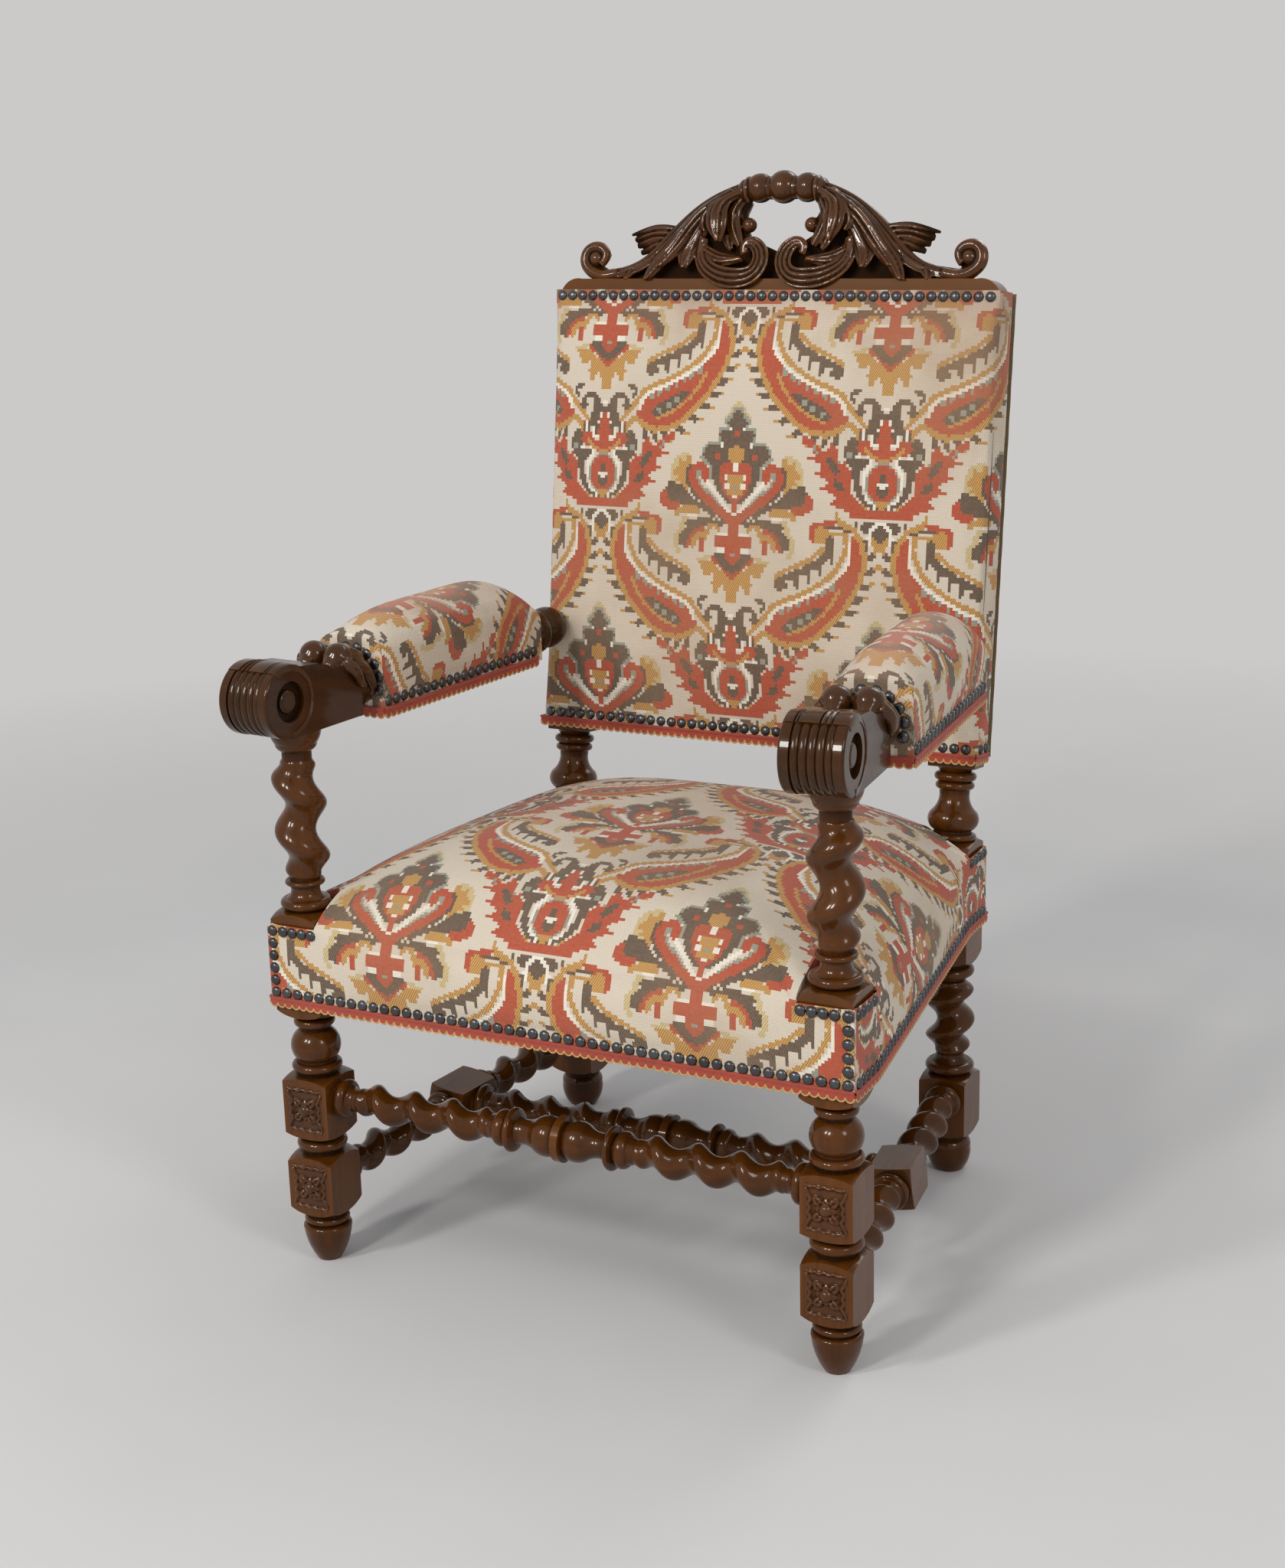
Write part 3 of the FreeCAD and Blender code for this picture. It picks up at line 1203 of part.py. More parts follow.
def arm_nails():
    """Rows of nails along both sides of an arm pad, and an arch of them round the bell."""
    lift, margin = mm("fit"), mm("nail_side_margin")
    up = pad_low + mm("nail_radius") + margin
    heads = []
    for side in (-1, 1):
        x = mm("pad_shift") + side * (mm("pad_half") + lift)
        start = Vector(x, mm("pad_front") + margin, up)
        stop = Vector(x, pad_back - margin * 2.4, up)
        heads += nails_at(row(start, stop), Vector(side, 0, 0))
    centre = Vector(mm("pad_shift") / 2, mm("pad_front") - lift, bell_height)
    reach = mm("bell_radius") + mm("nail_radius") + mm("cloth_gap") * 2
    count = round(reach * math.pi * 1.16 / mm("nail_pitch"))
    arch = []
    for index in range(count + 1):
        angle = math.pi * (-0.08 + 1.16 * index / count)
        arch.append(centre + Vector(math.cos(angle), 0, math.sin(angle)) * reach)
    heads += nails_at(arch, Vector(0, -1, 0))
    return placed(Part.makeCompound(heads), ARM_FRAME)


def arm_braid():
    """The braid round the lower edge of an arm pad, on its front and two sides."""
    thick, tall = mm("braid_thick"), mm("braid_width") * 0.8
    low = pad_low - tall * 0.4
    lift = mm("fit") / 2
    left, right = mm("pad_shift") - mm("pad_half") - lift, mm("pad_shift") + mm("pad_half") + lift
    front, back = mm("pad_front") - lift, pad_back - mm("nail_side_margin") * 1.4
    outer = box(left - thick, right + thick, front - thick, back, low, low + tall)
    inner = box(left, right, front, back + mm("overrun"), low - mm("overrun"), low + tall * 2)
    return placed(outer.cut(inner), ARM_FRAME)


# Crest, in the leaning plane. Its outlines are shares of its half width and of its height over the rail

UPPER_SHARES = ((0.945, 0.17), (0.88, 0.12), (0.79, 0.165), (0.735, 0.30))
TIP_SHARES = ((0.80, 0.47), (0.70, 0.52), (0.61, 0.56), (0.49, 0.69), (0.42, 0.83), (0.31, 0.95),
              (0.22, 1.04), (0.14, 1.10), (0.0, 1.13))
LOWER_SHARES = ((1.0, 0.07), (0.94, 0.02), (0.85, -0.02), (0.75, 0.0), (0.70, -0.06), (0.64, 0.03),
                (0.50, 0.03), (0.40, 0.0), (0.30, -0.07), (0.16, -0.10), (0.0, -0.10))
HOLE_SHARES = ((0.0, 0.84), (0.15, 0.84), (0.185, 0.72), (0.195, 0.58), (0.165, 0.46), (0.10, 0.47),
               (0.03, 0.36), (0.0, 0.36))


def crest_points(shares):
    """Places on the crest's front from shares of its half width and height."""
    across, low = mm("volute_across"), mm("top_rail_top")
    tall = mm("ball_up") - low
    return [Vector(across * share, -mm("crest_front"), low + tall * up) for share, up in shares]


def smooth(points):
    """A smooth edge through places."""
    curve = Part.BSplineCurve()
    curve.interpolate(points)
    return curve.toShape()


def crest():
    """The pierced crest: leaves and scrolls cut from one board, with a handle of three balls."""
    deep = Vector(0, mm("crest_front") + mm("crest_back"), 0)
    upper, tip, lower = crest_points(UPPER_SHARES), crest_points(TIP_SHARES), crest_points(LOWER_SHARES)
    hole = crest_points(HOLE_SHARES)
    edges = [smooth(upper), Part.makeLine(upper[-1], tip[0]), smooth(tip), Part.makeLine(tip[-1], lower[-1]),
             smooth(lower[::-1]), Part.makeLine(lower[0], upper[0])]
    half = Part.Face(Part.Wire(edges)).extrude(deep)
    opening = Part.Face(Part.Wire([smooth(hole), Part.makeLine(hole[-1], hole[0])])).extrude(deep)
    half = half.cut(opening)
    front, back = -mm("crest_front"), mm("crest_back")
    volute_at = Vector(mm("volute_across"), 0, mm("volute_up"))
    volute = rod(mm("volute_radius"), volute_at + Y_AXIS * front * 0.9, volute_at + Y_AXIS * back * 0.8)
    knob_at = crest_points(((0.17, 0.585),))[0]
    knob = rod(mm("inner_knob_radius"), Vector(knob_at.x, front * 0.9, knob_at.z),
               Vector(knob_at.x, back * 0.8, knob_at.z))
    side_ball_at = Vector(mm("side_ball_across"), crest_middle, mm("ball_up"))
    side_ball = Part.makeSphere(mm("side_ball_radius"), side_ball_at)
    scroll_at = Vector(mm("scroll_ring_across"), front + mm("scroll_rib_radius") / 3, mm("scroll_ring_up"))
    scroll = Part.makeTorus(mm("scroll_ring_radius"), mm("scroll_rib_radius"), scroll_at, Y_AXIS)
    half = join([half, volute, knob, side_ball, scroll])
    keep = box(0, mm("volute_across") * 2, front * 3, back * 3, 0, mm("ball_up") * 2)
    half = half.common(keep)
    centre_ball = Part.makeSphere(mm("handle_ball_radius"), Vector(0, crest_middle, mm("ball_up")))
    whole = join([half, mirrored(half), centre_ball])
    whole.rotate(Vector(0, 0, mm("top_rail_top")), X_AXIS, -mm("crest_lean"))
    room = box(-mm("top_rail_half") * 2, mm("top_rail_half") * 2, -mm("stile_front"), mm("stile_back") * 2,
               0, mm("top_rail_top"))
    bores = [rod(mm("dowel_radius") + mm("fit"), start, start + Z_AXIS * (mm("dowel_length") + mm("fit")))
             for start in dowel_starts()]
    return cut_all(whole, [room] + bores)


# Assembly: wood first, then the filling, the cloth and the trim

blocks, screws, screw_holes = corner_pieces()
holes = piece("screw_holes", Part.makeCompound(screw_holes))


def drilled(label, source):
    """A rail with the screw holes taken out of it."""
    cut = doc.addObject("Part::Cut", label)
    cut.Label = label
    cut.Base = source
    cut.Tool = holes
    return cut


mortises = rail_mortises()
back_frame_cuts = [placed(back_rail_mortise(), BACK_FRAME)]
front_post_right = piece("front_post_right", cut_all(
    front_post(), mortises + [joint_bore(FRONT_JOINT), joint_bore(SIDE_JOINTS[0])]))
back_post_right = piece("back_post_right", cut_all(
    back_post(), mortises + back_frame_cuts + [joint_bore(SIDE_JOINTS[1]), arm_bore(mm("fit"))]))
side_stretcher_right = piece("side_stretcher_right", side_stretcher())
arm_right = piece("arm_right", placed(arm(), ARM_FRAME).cut(post_hole()))
seat_rail_right = drilled("seat_rail_right", side_rail("slanted_rail"))
wood = [
    front_post_right,
    mirror_piece("front_post_left", front_post_right),
    back_post_right,
    mirror_piece("back_post_left", back_post_right),
    drilled("seat_rail_front", cross_rail("front_rail", "front_spread", front_y - half_post)),
    drilled("seat_rail_back", cross_rail("back_rail", "back_spread", back_y + half_post - mm("rail_thick"))),
    seat_rail_right,
    mirror_piece("seat_rail_left", seat_rail_right),
    piece("corner_blocks", Part.makeCompound(blocks)),
    piece("corner_screws", Part.makeCompound(screws)),
    piece("front_stretcher", front_stretcher()),
    piece("cross_stretcher", cross_stretcher()),
    side_stretcher_right,
    mirror_piece("side_stretcher_left", side_stretcher_right),
    arm_right,
    mirror_piece("arm_left", arm_right),
    piece("back_rail_bottom", placed(back_bottom_rail(), BACK_FRAME)),
    piece("back_rail_top", placed(back_top_rail(), BACK_FRAME)),
    piece("crest", placed(crest(), BACK_FRAME)),
    piece("crest_dowels", placed(Part.makeCompound(
        [rod(mm("dowel_radius"), start, start + Z_AXIS * mm("dowel_length")) for start in dowel_starts()]),
        BACK_FRAME)),
]

# Seat
cloth, gap, fit = mm("cloth_thick"), mm("cloth_gap"), mm("fit")
canvas_top = rail_top + mm("canvas_thick")
below_canvas = box(-side_x * 2, side_x * 2, front_y * 2 - side_x, back_y * 2 + side_x, 0, canvas_top + fit)
seat_stuffing = cut_all(seat_form(cloth + fit, mm("rail_low")),
                        [below_canvas] + post_rooms(gap * 2) + post_notches(gap * 2))
seat_cover = seat_form(0, mm("cloth_low")).cut(seat_form(cloth, mm("cloth_low") - mm("overrun")))
seat_cover = cut_all(seat_cover, post_rooms(gap / 2) + post_notches(gap))
seat = [
    piece("seat_webbing", seat_webbing()),
    piece("seat_springs", seat_springs()),
    seat_sheet("seat_canvas", rail_top, "sizes.canvas_thick"),
    seat_sheet("seat_dust_cloth", mm("rail_low") - 2 * mm("web_thick") - mm("dust_cloth_thick"),
               "sizes.dust_cloth_thick"),
    piece("seat_stuffing", seat_stuffing),
    piece("seat_cover", seat_cover),
    piece("seat_nails", seat_nails()),
    piece("seat_braid", seat_braid()),
]

# Back
arm_holes = [arm_bore(gap), mirrored(arm_bore(gap))]
outer_half = f"sizes.back_spread + {HALF_SIDE} + sizes.cloth_gap + sizes.cloth_thick"
outer_cloth = bar("back_outer_cover", f"2 * ({outer_half})", "sizes.cloth_thick",
                  "sizes.back_top - sizes.back_low", Vector(0, 0, 0))
outer_cloth.Placement = BACK_FRAME.multiply(Placement(
    Vector(-rear_x - gap - cloth, mm("stile_back"), mm("back_low")), Rotation()))
outer_cloth.Label = "back_outer_cover"
back = [
    piece("back_webbing", placed(back_webbing(), BACK_FRAME)),
    piece("back_stuffing", cut_all(placed(back_stuffing(), BACK_FRAME), arm_holes)),
    piece("back_cover", cut_all(placed(back_cover(), BACK_FRAME), arm_holes)),
    outer_cloth,
    piece("back_nails", placed(back_nails(), BACK_FRAME)),
    piece("back_braid", placed(back_braid(), BACK_FRAME)),
]

# Arm pads, each right one mirrored for the left
arm_parts = []
for name, shape in (("arm_pad", arm_pad()), ("arm_cover", arm_cover()), ("arm_nails", arm_nails()),
                    ("arm_braid", arm_braid())):
    right = piece(name + "_right", shape)
    arm_parts += [right, mirror_piece(name + "_left", right)]

doc.recompute()
parts = wood + seat + back + arm_parts
for item in doc.Objects:
    if "Invalid" in item.State or "Error" in item.State:
        raise RuntimeError(f"{item.Label} did not build: {item.State}")
for item in parts:
    if item.Shape.isNull() or not item.Shape.isValid() or not item.Shape.Solids:
        raise RuntimeError(f"{item.Label} has no sound solid")

os.makedirs("parts", exist_ok=True)
whole = FreeCAD.BoundBox()
for item in parts:
    item.Shape.exportStep(f"parts/{item.Label}.step")
    whole.add(item.Shape.BoundBox)
    print(f"{item.Label}: {len(item.Shape.Solids)} solids, {item.Shape.Volume / 1000:.1f} cm3")
print(f"{len(parts)} sub-parts, {whole.XLength:.1f} x {whole.YLength:.1f} x {whole.ZLength:.1f} mm, "
      f"middle at y {whole.Center.y:.2f}")
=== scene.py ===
# %% [markdown]
# # An armchair with twisted legs, a carved crest and a tapestry cover
# The chair has a wooden frame, turned and carved, with a sprung seat, a padded back and two padded
# arms. The frame of the model already holds every solid of the chair in its real place, so this script
# dresses it: it gives wood, metal and webbing their finish, and makes anew what a solid can't show, such
# as the carving, the cloth with its woven pattern, the nail heads and the braid.

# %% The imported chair
import math

import bmesh
import bpy
import numpy as np
from mathutils import Matrix, Vector
from mathutils.kdtree import KDTree


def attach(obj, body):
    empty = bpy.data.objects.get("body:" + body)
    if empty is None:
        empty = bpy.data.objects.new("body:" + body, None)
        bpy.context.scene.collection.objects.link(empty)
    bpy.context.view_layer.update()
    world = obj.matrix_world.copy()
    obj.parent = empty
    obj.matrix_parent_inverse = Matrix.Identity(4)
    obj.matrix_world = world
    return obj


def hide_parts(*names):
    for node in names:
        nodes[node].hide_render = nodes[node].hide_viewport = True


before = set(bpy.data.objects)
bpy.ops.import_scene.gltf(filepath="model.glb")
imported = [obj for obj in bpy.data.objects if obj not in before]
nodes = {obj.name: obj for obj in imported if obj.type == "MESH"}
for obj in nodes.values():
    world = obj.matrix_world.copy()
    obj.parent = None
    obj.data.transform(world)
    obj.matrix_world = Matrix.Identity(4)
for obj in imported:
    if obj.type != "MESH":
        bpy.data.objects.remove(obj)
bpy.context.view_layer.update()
MM = 0.001
SIDES = ((1, "right"), (-1, "left"))
print("Nodes in the packed chair:", len(nodes))

# %% [markdown]
# ## Steps that come back
# Selecting one piece, linking a new one, joining parts and applying modifiers happen all through the
# script. Each is a short function here, so the later cells say only what is special about their piece.

# %% Helpers
def only(piece):
    """Selects one piece and nothing else."""
    bpy.ops.object.select_all(action="DESELECT")
    piece.select_set(True)
    bpy.context.view_layer.objects.active = piece


def linked(name, data):
    """A new piece in the scene, made from a mesh or a curve."""
    piece = bpy.data.objects.new(name, data)
    bpy.context.collection.objects.link(piece)
    return piece


def grid(name, across, up):
    """A flat grid with some squares each way, to be given its shape point by point."""
    bpy.ops.object.select_all(action="DESELECT")
    bpy.ops.mesh.primitive_grid_add(x_subdivisions=across, y_subdivisions=up, size=1)
    piece = bpy.context.object
    piece.name = name
    return piece


def joined(name, parts):
    """Several parts as one piece at the origin."""
    only(parts[0])
    for part in parts:
        part.select_set(True)
    bpy.ops.object.join()
    piece = bpy.context.object
    piece.name = name
    bpy.ops.object.transform_apply(location=True, rotation=True, scale=True)
    return piece


def applied(piece, *steps):
    """Adds modifiers, each a kind and its settings, and applies them in turn."""
    only(piece)
    for kind, settings in steps:
        changed = piece.modifiers.new(kind.lower(), kind)
        for key, value in settings.items():
            setattr(changed, key, value)
        bpy.ops.object.modifier_apply(modifier=changed.name)


def edited(piece, change, **facts):
    """Runs one step of edit mode on all of a mesh."""
    only(piece)
    bpy.ops.object.mode_set(mode="EDIT")
    bpy.ops.mesh.select_all(action="SELECT")
    change(**facts)
    bpy.ops.object.mode_set(mode="OBJECT")


def smoothed(piece, angle):
    """Smooth shading, with edges that stay sharp above an angle in degrees."""
    only(piece)
    bpy.ops.object.shade_smooth_by_angle(angle=math.radians(angle))


def dressed(finish, *names):
    """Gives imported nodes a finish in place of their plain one."""
    for name in names:
        nodes[name].data.materials.clear()
        nodes[name].data.materials.append(finish)


print("Helpers ready: select, link, join, modify, edit and dress")

# %% [markdown]
# ## The camera
# The photograph was taken from the front right, a little above the seat. A camera is three numbers that
# turn it, three that place it and a lens. They were solved from the chair's own upright and level lines,
# so a leg in the render falls on the same leg in the photograph.

# %% Camera
CAMERA_PLACE = (1.05822, -2.142113, 1.15228)
YAW, PITCH, ROLL = 27.0186, 15.306, -1.5036
FOCAL_PIXELS, PHOTO_HEIGHT, SENSOR = 2993.08, 2048, 36


def camera_turn(yaw, pitch, roll):
    """The turn of a camera that looks along +Y, swung left, tipped down and rolled, in degrees."""
    yaw, pitch, roll = (math.radians(angle) for angle in (yaw, pitch, roll))
    ahead = Vector((-math.sin(yaw) * math.cos(pitch), math.cos(yaw) * math.cos(pitch), -math.sin(pitch)))
    right = ahead.cross(Vector((0, 0, 1))).normalized()
    up = right.cross(ahead)
    rolled_right = right * math.cos(roll) + up * math.sin(roll)
    rolled_up = up * math.cos(roll) - right * math.sin(roll)
    return Matrix((rolled_right, rolled_up, -ahead)).transposed().to_euler()


bpy.ops.object.camera_add(location=CAMERA_PLACE, rotation=camera_turn(YAW, PITCH, ROLL))
camera = bpy.context.object
camera.data.sensor_width = SENSOR
camera.data.lens = FOCAL_PIXELS / PHOTO_HEIGHT * SENSOR
bpy.context.scene.camera = camera
print("Lens in mm:", round(camera.data.lens, 2))

# %% [markdown]
# ## Shader maths
# A material's nodes can be written as sums. One small class holds a socket, and an expression such as
# `1 - mask * 0.5` on it adds the Math nodes it needs. Every other node comes from one method, which
# takes the node's type, its settings and the values of its sockets.

# %% A socket that can be written in sums
class Value:
    """A socket of a material. Sums on it add Math nodes."""

    def __init__(self, material, socket):
        self.material, self.socket = material, socket

    def maths(self, operation, *values):
        return self.material.node("ShaderNodeMath", {"operation": operation}, dict(enumerate(values)))

    def __add__(self, other):
        return self.maths("ADD", self, other)

    def __sub__(self, other):
        return self.maths("SUBTRACT", self, other)

    def __rsub__(self, other):
        return self.maths("SUBTRACT", other, self)

    def __mul__(self, other):
        return self.maths("MULTIPLY", self, other)

    __radd__ = __add__

    def sine(self):
        return self.maths("SINE", self)

    def wave(self, pitch):
        """A wave along the value, between nought and one. Its crests are a pitch apart."""
        return (self * (2 * math.pi / pitch)).sine() * 0.5 + 0.5

    def held(self):
        """The value, kept between nought and one."""
        return self.material.node("ShaderNodeClamp", {}, {"Value": self})


# %% A material and its nodes
class Finish:
    """A material under construction."""

    def __init__(self, name, **shader):
        self.made = bpy.data.materials.new(name)
        self.made.use_nodes = True
        self.tree = self.made.node_tree
        self.shader = self.tree.nodes["Principled BSDF"]
        for socket, value in shader.items():
            self.shader.inputs[socket.replace("_", " ")].default_value = value

    def node(self, kind, settings=None, values=None, output=0):
        """A new node with its settings and the values or links of its sockets."""
        added = self.tree.nodes.new(kind)
        for key, value in (settings or {}).items():
            setattr(added, key, value)
        for key, value in (values or {}).items():
            if isinstance(value, Value):
                self.tree.links.new(value.socket, added.inputs[key])
            else:
                added.inputs[key].default_value = value
        return Value(self, added.outputs[output])

    def steps(self, share, stops):
        """A colour that changes in steps: each stop is where it starts, and its colour."""
        chosen = self.node("ShaderNodeValToRGB", {}, {"Fac": share})
        ramp = chosen.socket.node.color_ramp
        ramp.interpolation = "CONSTANT"
        while len(ramp.elements) < len(stops):
            ramp.elements.new(1)
        for stop, (place, colour) in zip(ramp.elements, stops):
            stop.position, stop.color = place, colour
        return chosen

    def blend(self, share, one, other):
        """A colour between two others."""
        return self.node("ShaderNodeMix", {"data_type": "RGBA"}, {0: share, 6: one, 7: other}, output=2)

    def place(self, stretch=(1, 1, 1)):
        """The piece's own coordinates in metres, stretched."""
        own = self.node("ShaderNodeTexCoord", output=3)
        return self.node("ShaderNodeMapping", {}, {"Vector": own, "Scale": stretch})

    def parts(self, vector):
        """The three parts of a vector."""
        split = self.node("ShaderNodeSeparateXYZ", {}, {0: vector}).socket.node
        return [Value(self, socket) for socket in split.outputs]

    def noise(self, place, scale, detail=3.0, rough=0.55, distortion=0.0):
        return self.node("ShaderNodeTexNoise", {}, {"Vector": place, "Scale": scale, "Detail": detail,
                                                    "Roughness": rough, "Distortion": distortion})

    def patchy(self, noise, above, rise):
        """A mask that grows from nought where a noise goes above a level."""
        return ((noise - above) * rise).held()

    def finish(self, **sockets):
        """Links what changes over the surface to the shader."""
        for socket, value in sockets.items():
            self.tree.links.new(value.socket, self.shader.inputs[socket.replace("_", " ")])
        return self.made

    def bump(self, height, strength, distance):
        """A bump, whose distance is in metres."""
        return self.node("ShaderNodeBump", {}, {"Height": height, "Strength": strength,
                                                "Distance": distance})


def srgb(red, green, blue):
    """A colour read on a screen, as the linear values that a shader takes."""
    line = [((part / 255 + 0.055) / 1.055) ** 2.4 if part > 10 else part / 255 / 12.92
            for part in (red, green, blue)]
    return (*line, 1)


print("Mid grey on a screen is this much light:", round(srgb(128, 128, 128)[0], 3))

# %% [markdown]
# ## The floor and the light
# A plain pale floor catches the chair's shadow. Two tall soft lamps stand side by side at the front left,
# like a pair of windows, so each polished ball carries two bright patches. A weaker lamp at the right and
# one behind open the shadows. Far from the chair the floor shows the eye the same pale tone as the sky
# behind it, so no horizon cuts the picture. Neither of the two lights the chair.

# %% Floor
PALE_GROUND = srgb(204, 202, 200)
SEEN_RAYS = ("Is Camera Ray", "Is Glossy Ray", "Is Transmission Ray")
GLOW_FROM, GLOW_RISE = 1.3, 0.55
bpy.ops.object.select_all(action="DESELECT")
bpy.ops.mesh.primitive_plane_add(size=60, location=(0, 0, 0))
floor = bpy.context.object
floor.name = "floor"
floor_paint = Finish("floor", Roughness=0.9, Specular_IOR_Level=0.1)
spot = floor_paint.place()
far = floor_paint.node("ShaderNodeVectorMath", {"operation": "LENGTH"}, {0: spot}, output=1)
speck = floor_paint.noise(spot, 3.0)
floor_paint.finish(Base_Color=floor_paint.blend(speck, srgb(206, 204, 201), srgb(214, 212, 209)))
glow = floor_paint.node("ShaderNodeEmission", {}, {"Color": PALE_GROUND, "Strength": 1.0})
camera_ray, *other_rays = (floor_paint.node("ShaderNodeLightPath", output=ray) for ray in SEEN_RAYS)
seen_by_eye = sum(other_rays, camera_ray).held()
join = floor_paint.node("ShaderNodeMixShader", {},
                        {0: ((far - GLOW_FROM) * GLOW_RISE).held() * seen_by_eye, 2: glow})
floor_paint.tree.links.new(floor_paint.shader.outputs[0], join.socket.node.inputs[1])
floor_paint.tree.links.new(join.socket, floor_paint.tree.nodes["Material Output"].inputs["Surface"])
floor.data.materials.append(floor_paint.made)
print("Floor laid, pale from this far out in m:", GLOW_FROM)

# %% Lamps and sky
def lamp(name, place, aim, size, power):
    """A soft lamp, as wide and tall as given, that faces a point."""
    turn = (Vector(aim) - Vector(place)).to_track_quat("-Z", "Y").to_euler()
    bpy.ops.object.light_add(type="AREA", location=place, rotation=turn)
    light = bpy.context.object
    light.name = name
    light.data.shape = "RECTANGLE"
    light.data.size, light.data.size_y, light.data.energy = *size, power


lamp("left_window_lamp", (-1.45, -3.0, 2.5), (0, 0, 0.6), (0.4, 0.9), 42)
lamp("front_window_lamp", (-0.45, -3.3, 2.5), (0, 0, 0.6), (0.4, 0.9), 42)
lamp("right_lamp", (2.6, -1.5, 2.2), (0, 0, 0.5), (0.7, 1.0), 20)
lamp("rear_lamp", (0.6, 2.4, 2.6), (0, 0, 0.7), (1.4, 1.4), 18)
world = bpy.data.worlds.new("sky")
world.use_nodes = True
sky_nodes = world.node_tree
path = sky_nodes.nodes.new("ShaderNodeLightPath")
backdrop = sky_nodes.nodes.new("ShaderNodeBackground")
both = sky_nodes.nodes.new("ShaderNodeMixShader")
sky = sky_nodes.nodes["Background"]
sky.inputs["Color"].default_value, sky.inputs["Strength"].default_value = (0.93, 0.95, 1.0, 1), 0.5
backdrop.inputs["Color"].default_value = PALE_GROUND
two_rays, all_rays = (sky_nodes.nodes.new("ShaderNodeMath") for _ in range(2))
for rays in (two_rays, all_rays):
    rays.operation, rays.use_clamp = "ADD", True
for start, end in ((path.outputs[SEEN_RAYS[0]], two_rays.inputs[0]),
                   (path.outputs[SEEN_RAYS[1]], two_rays.inputs[1]),
                   (two_rays.outputs[0], all_rays.inputs[0]),
                   (path.outputs[SEEN_RAYS[2]], all_rays.inputs[1]),
                   (all_rays.outputs[0], both.inputs[0]), (sky.outputs[0], both.inputs[1]),
                   (backdrop.outputs[0], both.inputs[2]),
                   (both.outputs[0], sky_nodes.nodes["World Output"].inputs["Surface"])):
    sky_nodes.links.new(start, end)
bpy.context.scene.world = world
bpy.context.scene.view_settings.view_transform = "Standard"

# %% [markdown]
# ## Polished oak
# The frame is oak with a dark stain under an old polish. Three things make it: long grain that runs with
# the piece, painted shade that keeps the hollows dark, and ridges that hands and cloths have rubbed
# lighter. Pointiness tells ridge from hollow on a dense mesh, so it drives both. The grain is noise that
# is stretched along the piece, so legs, rails and arms each take their own direction. On new carvings a
# colour kept with the points marks the cuts too, because a fine mesh hides them from pointiness, and it
# gives them painted shade in the cuts and a painted highlight on their ridges.

# %% Oak
STAINS = (30, 14, 3), (74, 38, 7), (114, 60, 9), (148, 86, 28)
HOLLOW_SHADE, CUT_SHADE, CUT_HIGHLIGHT = srgb(13, 8, 6), srgb(18, 10, 6), srgb(126, 74, 34)
ALONG = 0.09


def oak(name, stretch, tone=1.0, carved=False):
    """Stained oak whose grain runs where the stretch is small. Carved cuts are matt and painted near black
    as shade, with a painted highlight on their ridges.
    """
    wood = Finish(name, Roughness=0.3, Coat_Weight=0.4, Coat_Roughness=0.05, Specular_IOR_Level=0.15,
                  Specular_Tint=(1, 0.8, 0.6, 1))
    place = wood.place(stretch)
    plain = wood.place()
    fibre = wood.noise(place, 110, 4, 0.6, 0.4)
    figure = wood.noise(place, 16, 3, 0.55, 1.2)
    patches = wood.noise(plain, 8, 3)
    smear = wood.noise(plain, 38, 3)
    ridge = wood.node("ShaderNodeNewGeometry", output=7)
    hollow = ((0.5 - ridge) * 11).held()
    worn = wood.patchy(ridge, 0.52, 8)
    deep, middle, light, rubbed = (srgb(*(part * tone for part in stain)) for stain in STAINS)
    colour = wood.blend((figure * 1.8 - 0.4).held(), middle, light)
    colour = wood.blend(wood.patchy(fibre, 0.42, 1.8) * 0.6, colour, deep)
    colour = wood.blend(wood.patchy(patches, 0.48, 2.6) * 0.6, colour, deep)
    colour = wood.blend(worn * 0.55, colour, rubbed)
    # painted shade: the hollows that pointiness finds are darkened towards near black
    colour = wood.blend(hollow * 0.95, colour, HOLLOW_SHADE)
    pores = wood.patchy(fibre, 0.55, 3)
    rough = (0.2 + pores * 0.14 + hollow * 0.35 + smear * 0.12).held()
    shine = (0.5 - hollow * 0.5 - smear * 0.2).held()
    if carved:
        sunk, proud, _ = wood.parts(wood.node("ShaderNodeAttribute", {"attribute_name": "cut"}))
        # painted highlight on the carved ridges, and painted shade in the cuts
        colour = wood.blend(proud * 0.6, colour, CUT_HIGHLIGHT)
        colour = wood.blend(sunk * 0.85, colour, CUT_SHADE)
        rough = (rough + sunk * 0.6).held()
        shine = (shine + 0.2 - sunk).held()
    height = wood.bump(fibre * 0.6 + figure * 0.6 + smear * 0.4, 0.22, 0.0005)
    return wood.finish(Base_Color=colour, Roughness=rough, Coat_Weight=shine, Normal=height)


upright_oak = oak("upright_oak", (1, 1, ALONG), 0.84)
cross_oak = oak("cross_oak", (ALONG, 1, 1), 0.8)
deep_oak = oak("deep_oak", (1, ALONG, 1), 0.8)
arm_oak = oak("arm_oak", (1, ALONG, 1), 0.6)
carved_oak = oak("carved_oak", (0.12, 1, 1), 0.72, carved=True)
carved_block_oak = oak("carved_block_oak", (1, 1, ALONG), 0.84, carved=True)
dressed(upright_oak, "front_post_right", "front_post_left", "back_post_right", "back_post_left",
        "corner_blocks", "crest_dowels")
dressed(cross_oak, "front_stretcher", "cross_stretcher", "seat_rail_front", "seat_rail_back",
        "back_rail_bottom", "back_rail_top", "crest")
dressed(deep_oak, "side_stretcher_right", "side_stretcher_left", "seat_rail_right", "seat_rail_left")
dressed(arm_oak, "arm_right", "arm_left")
print("Oak laid on the frame")

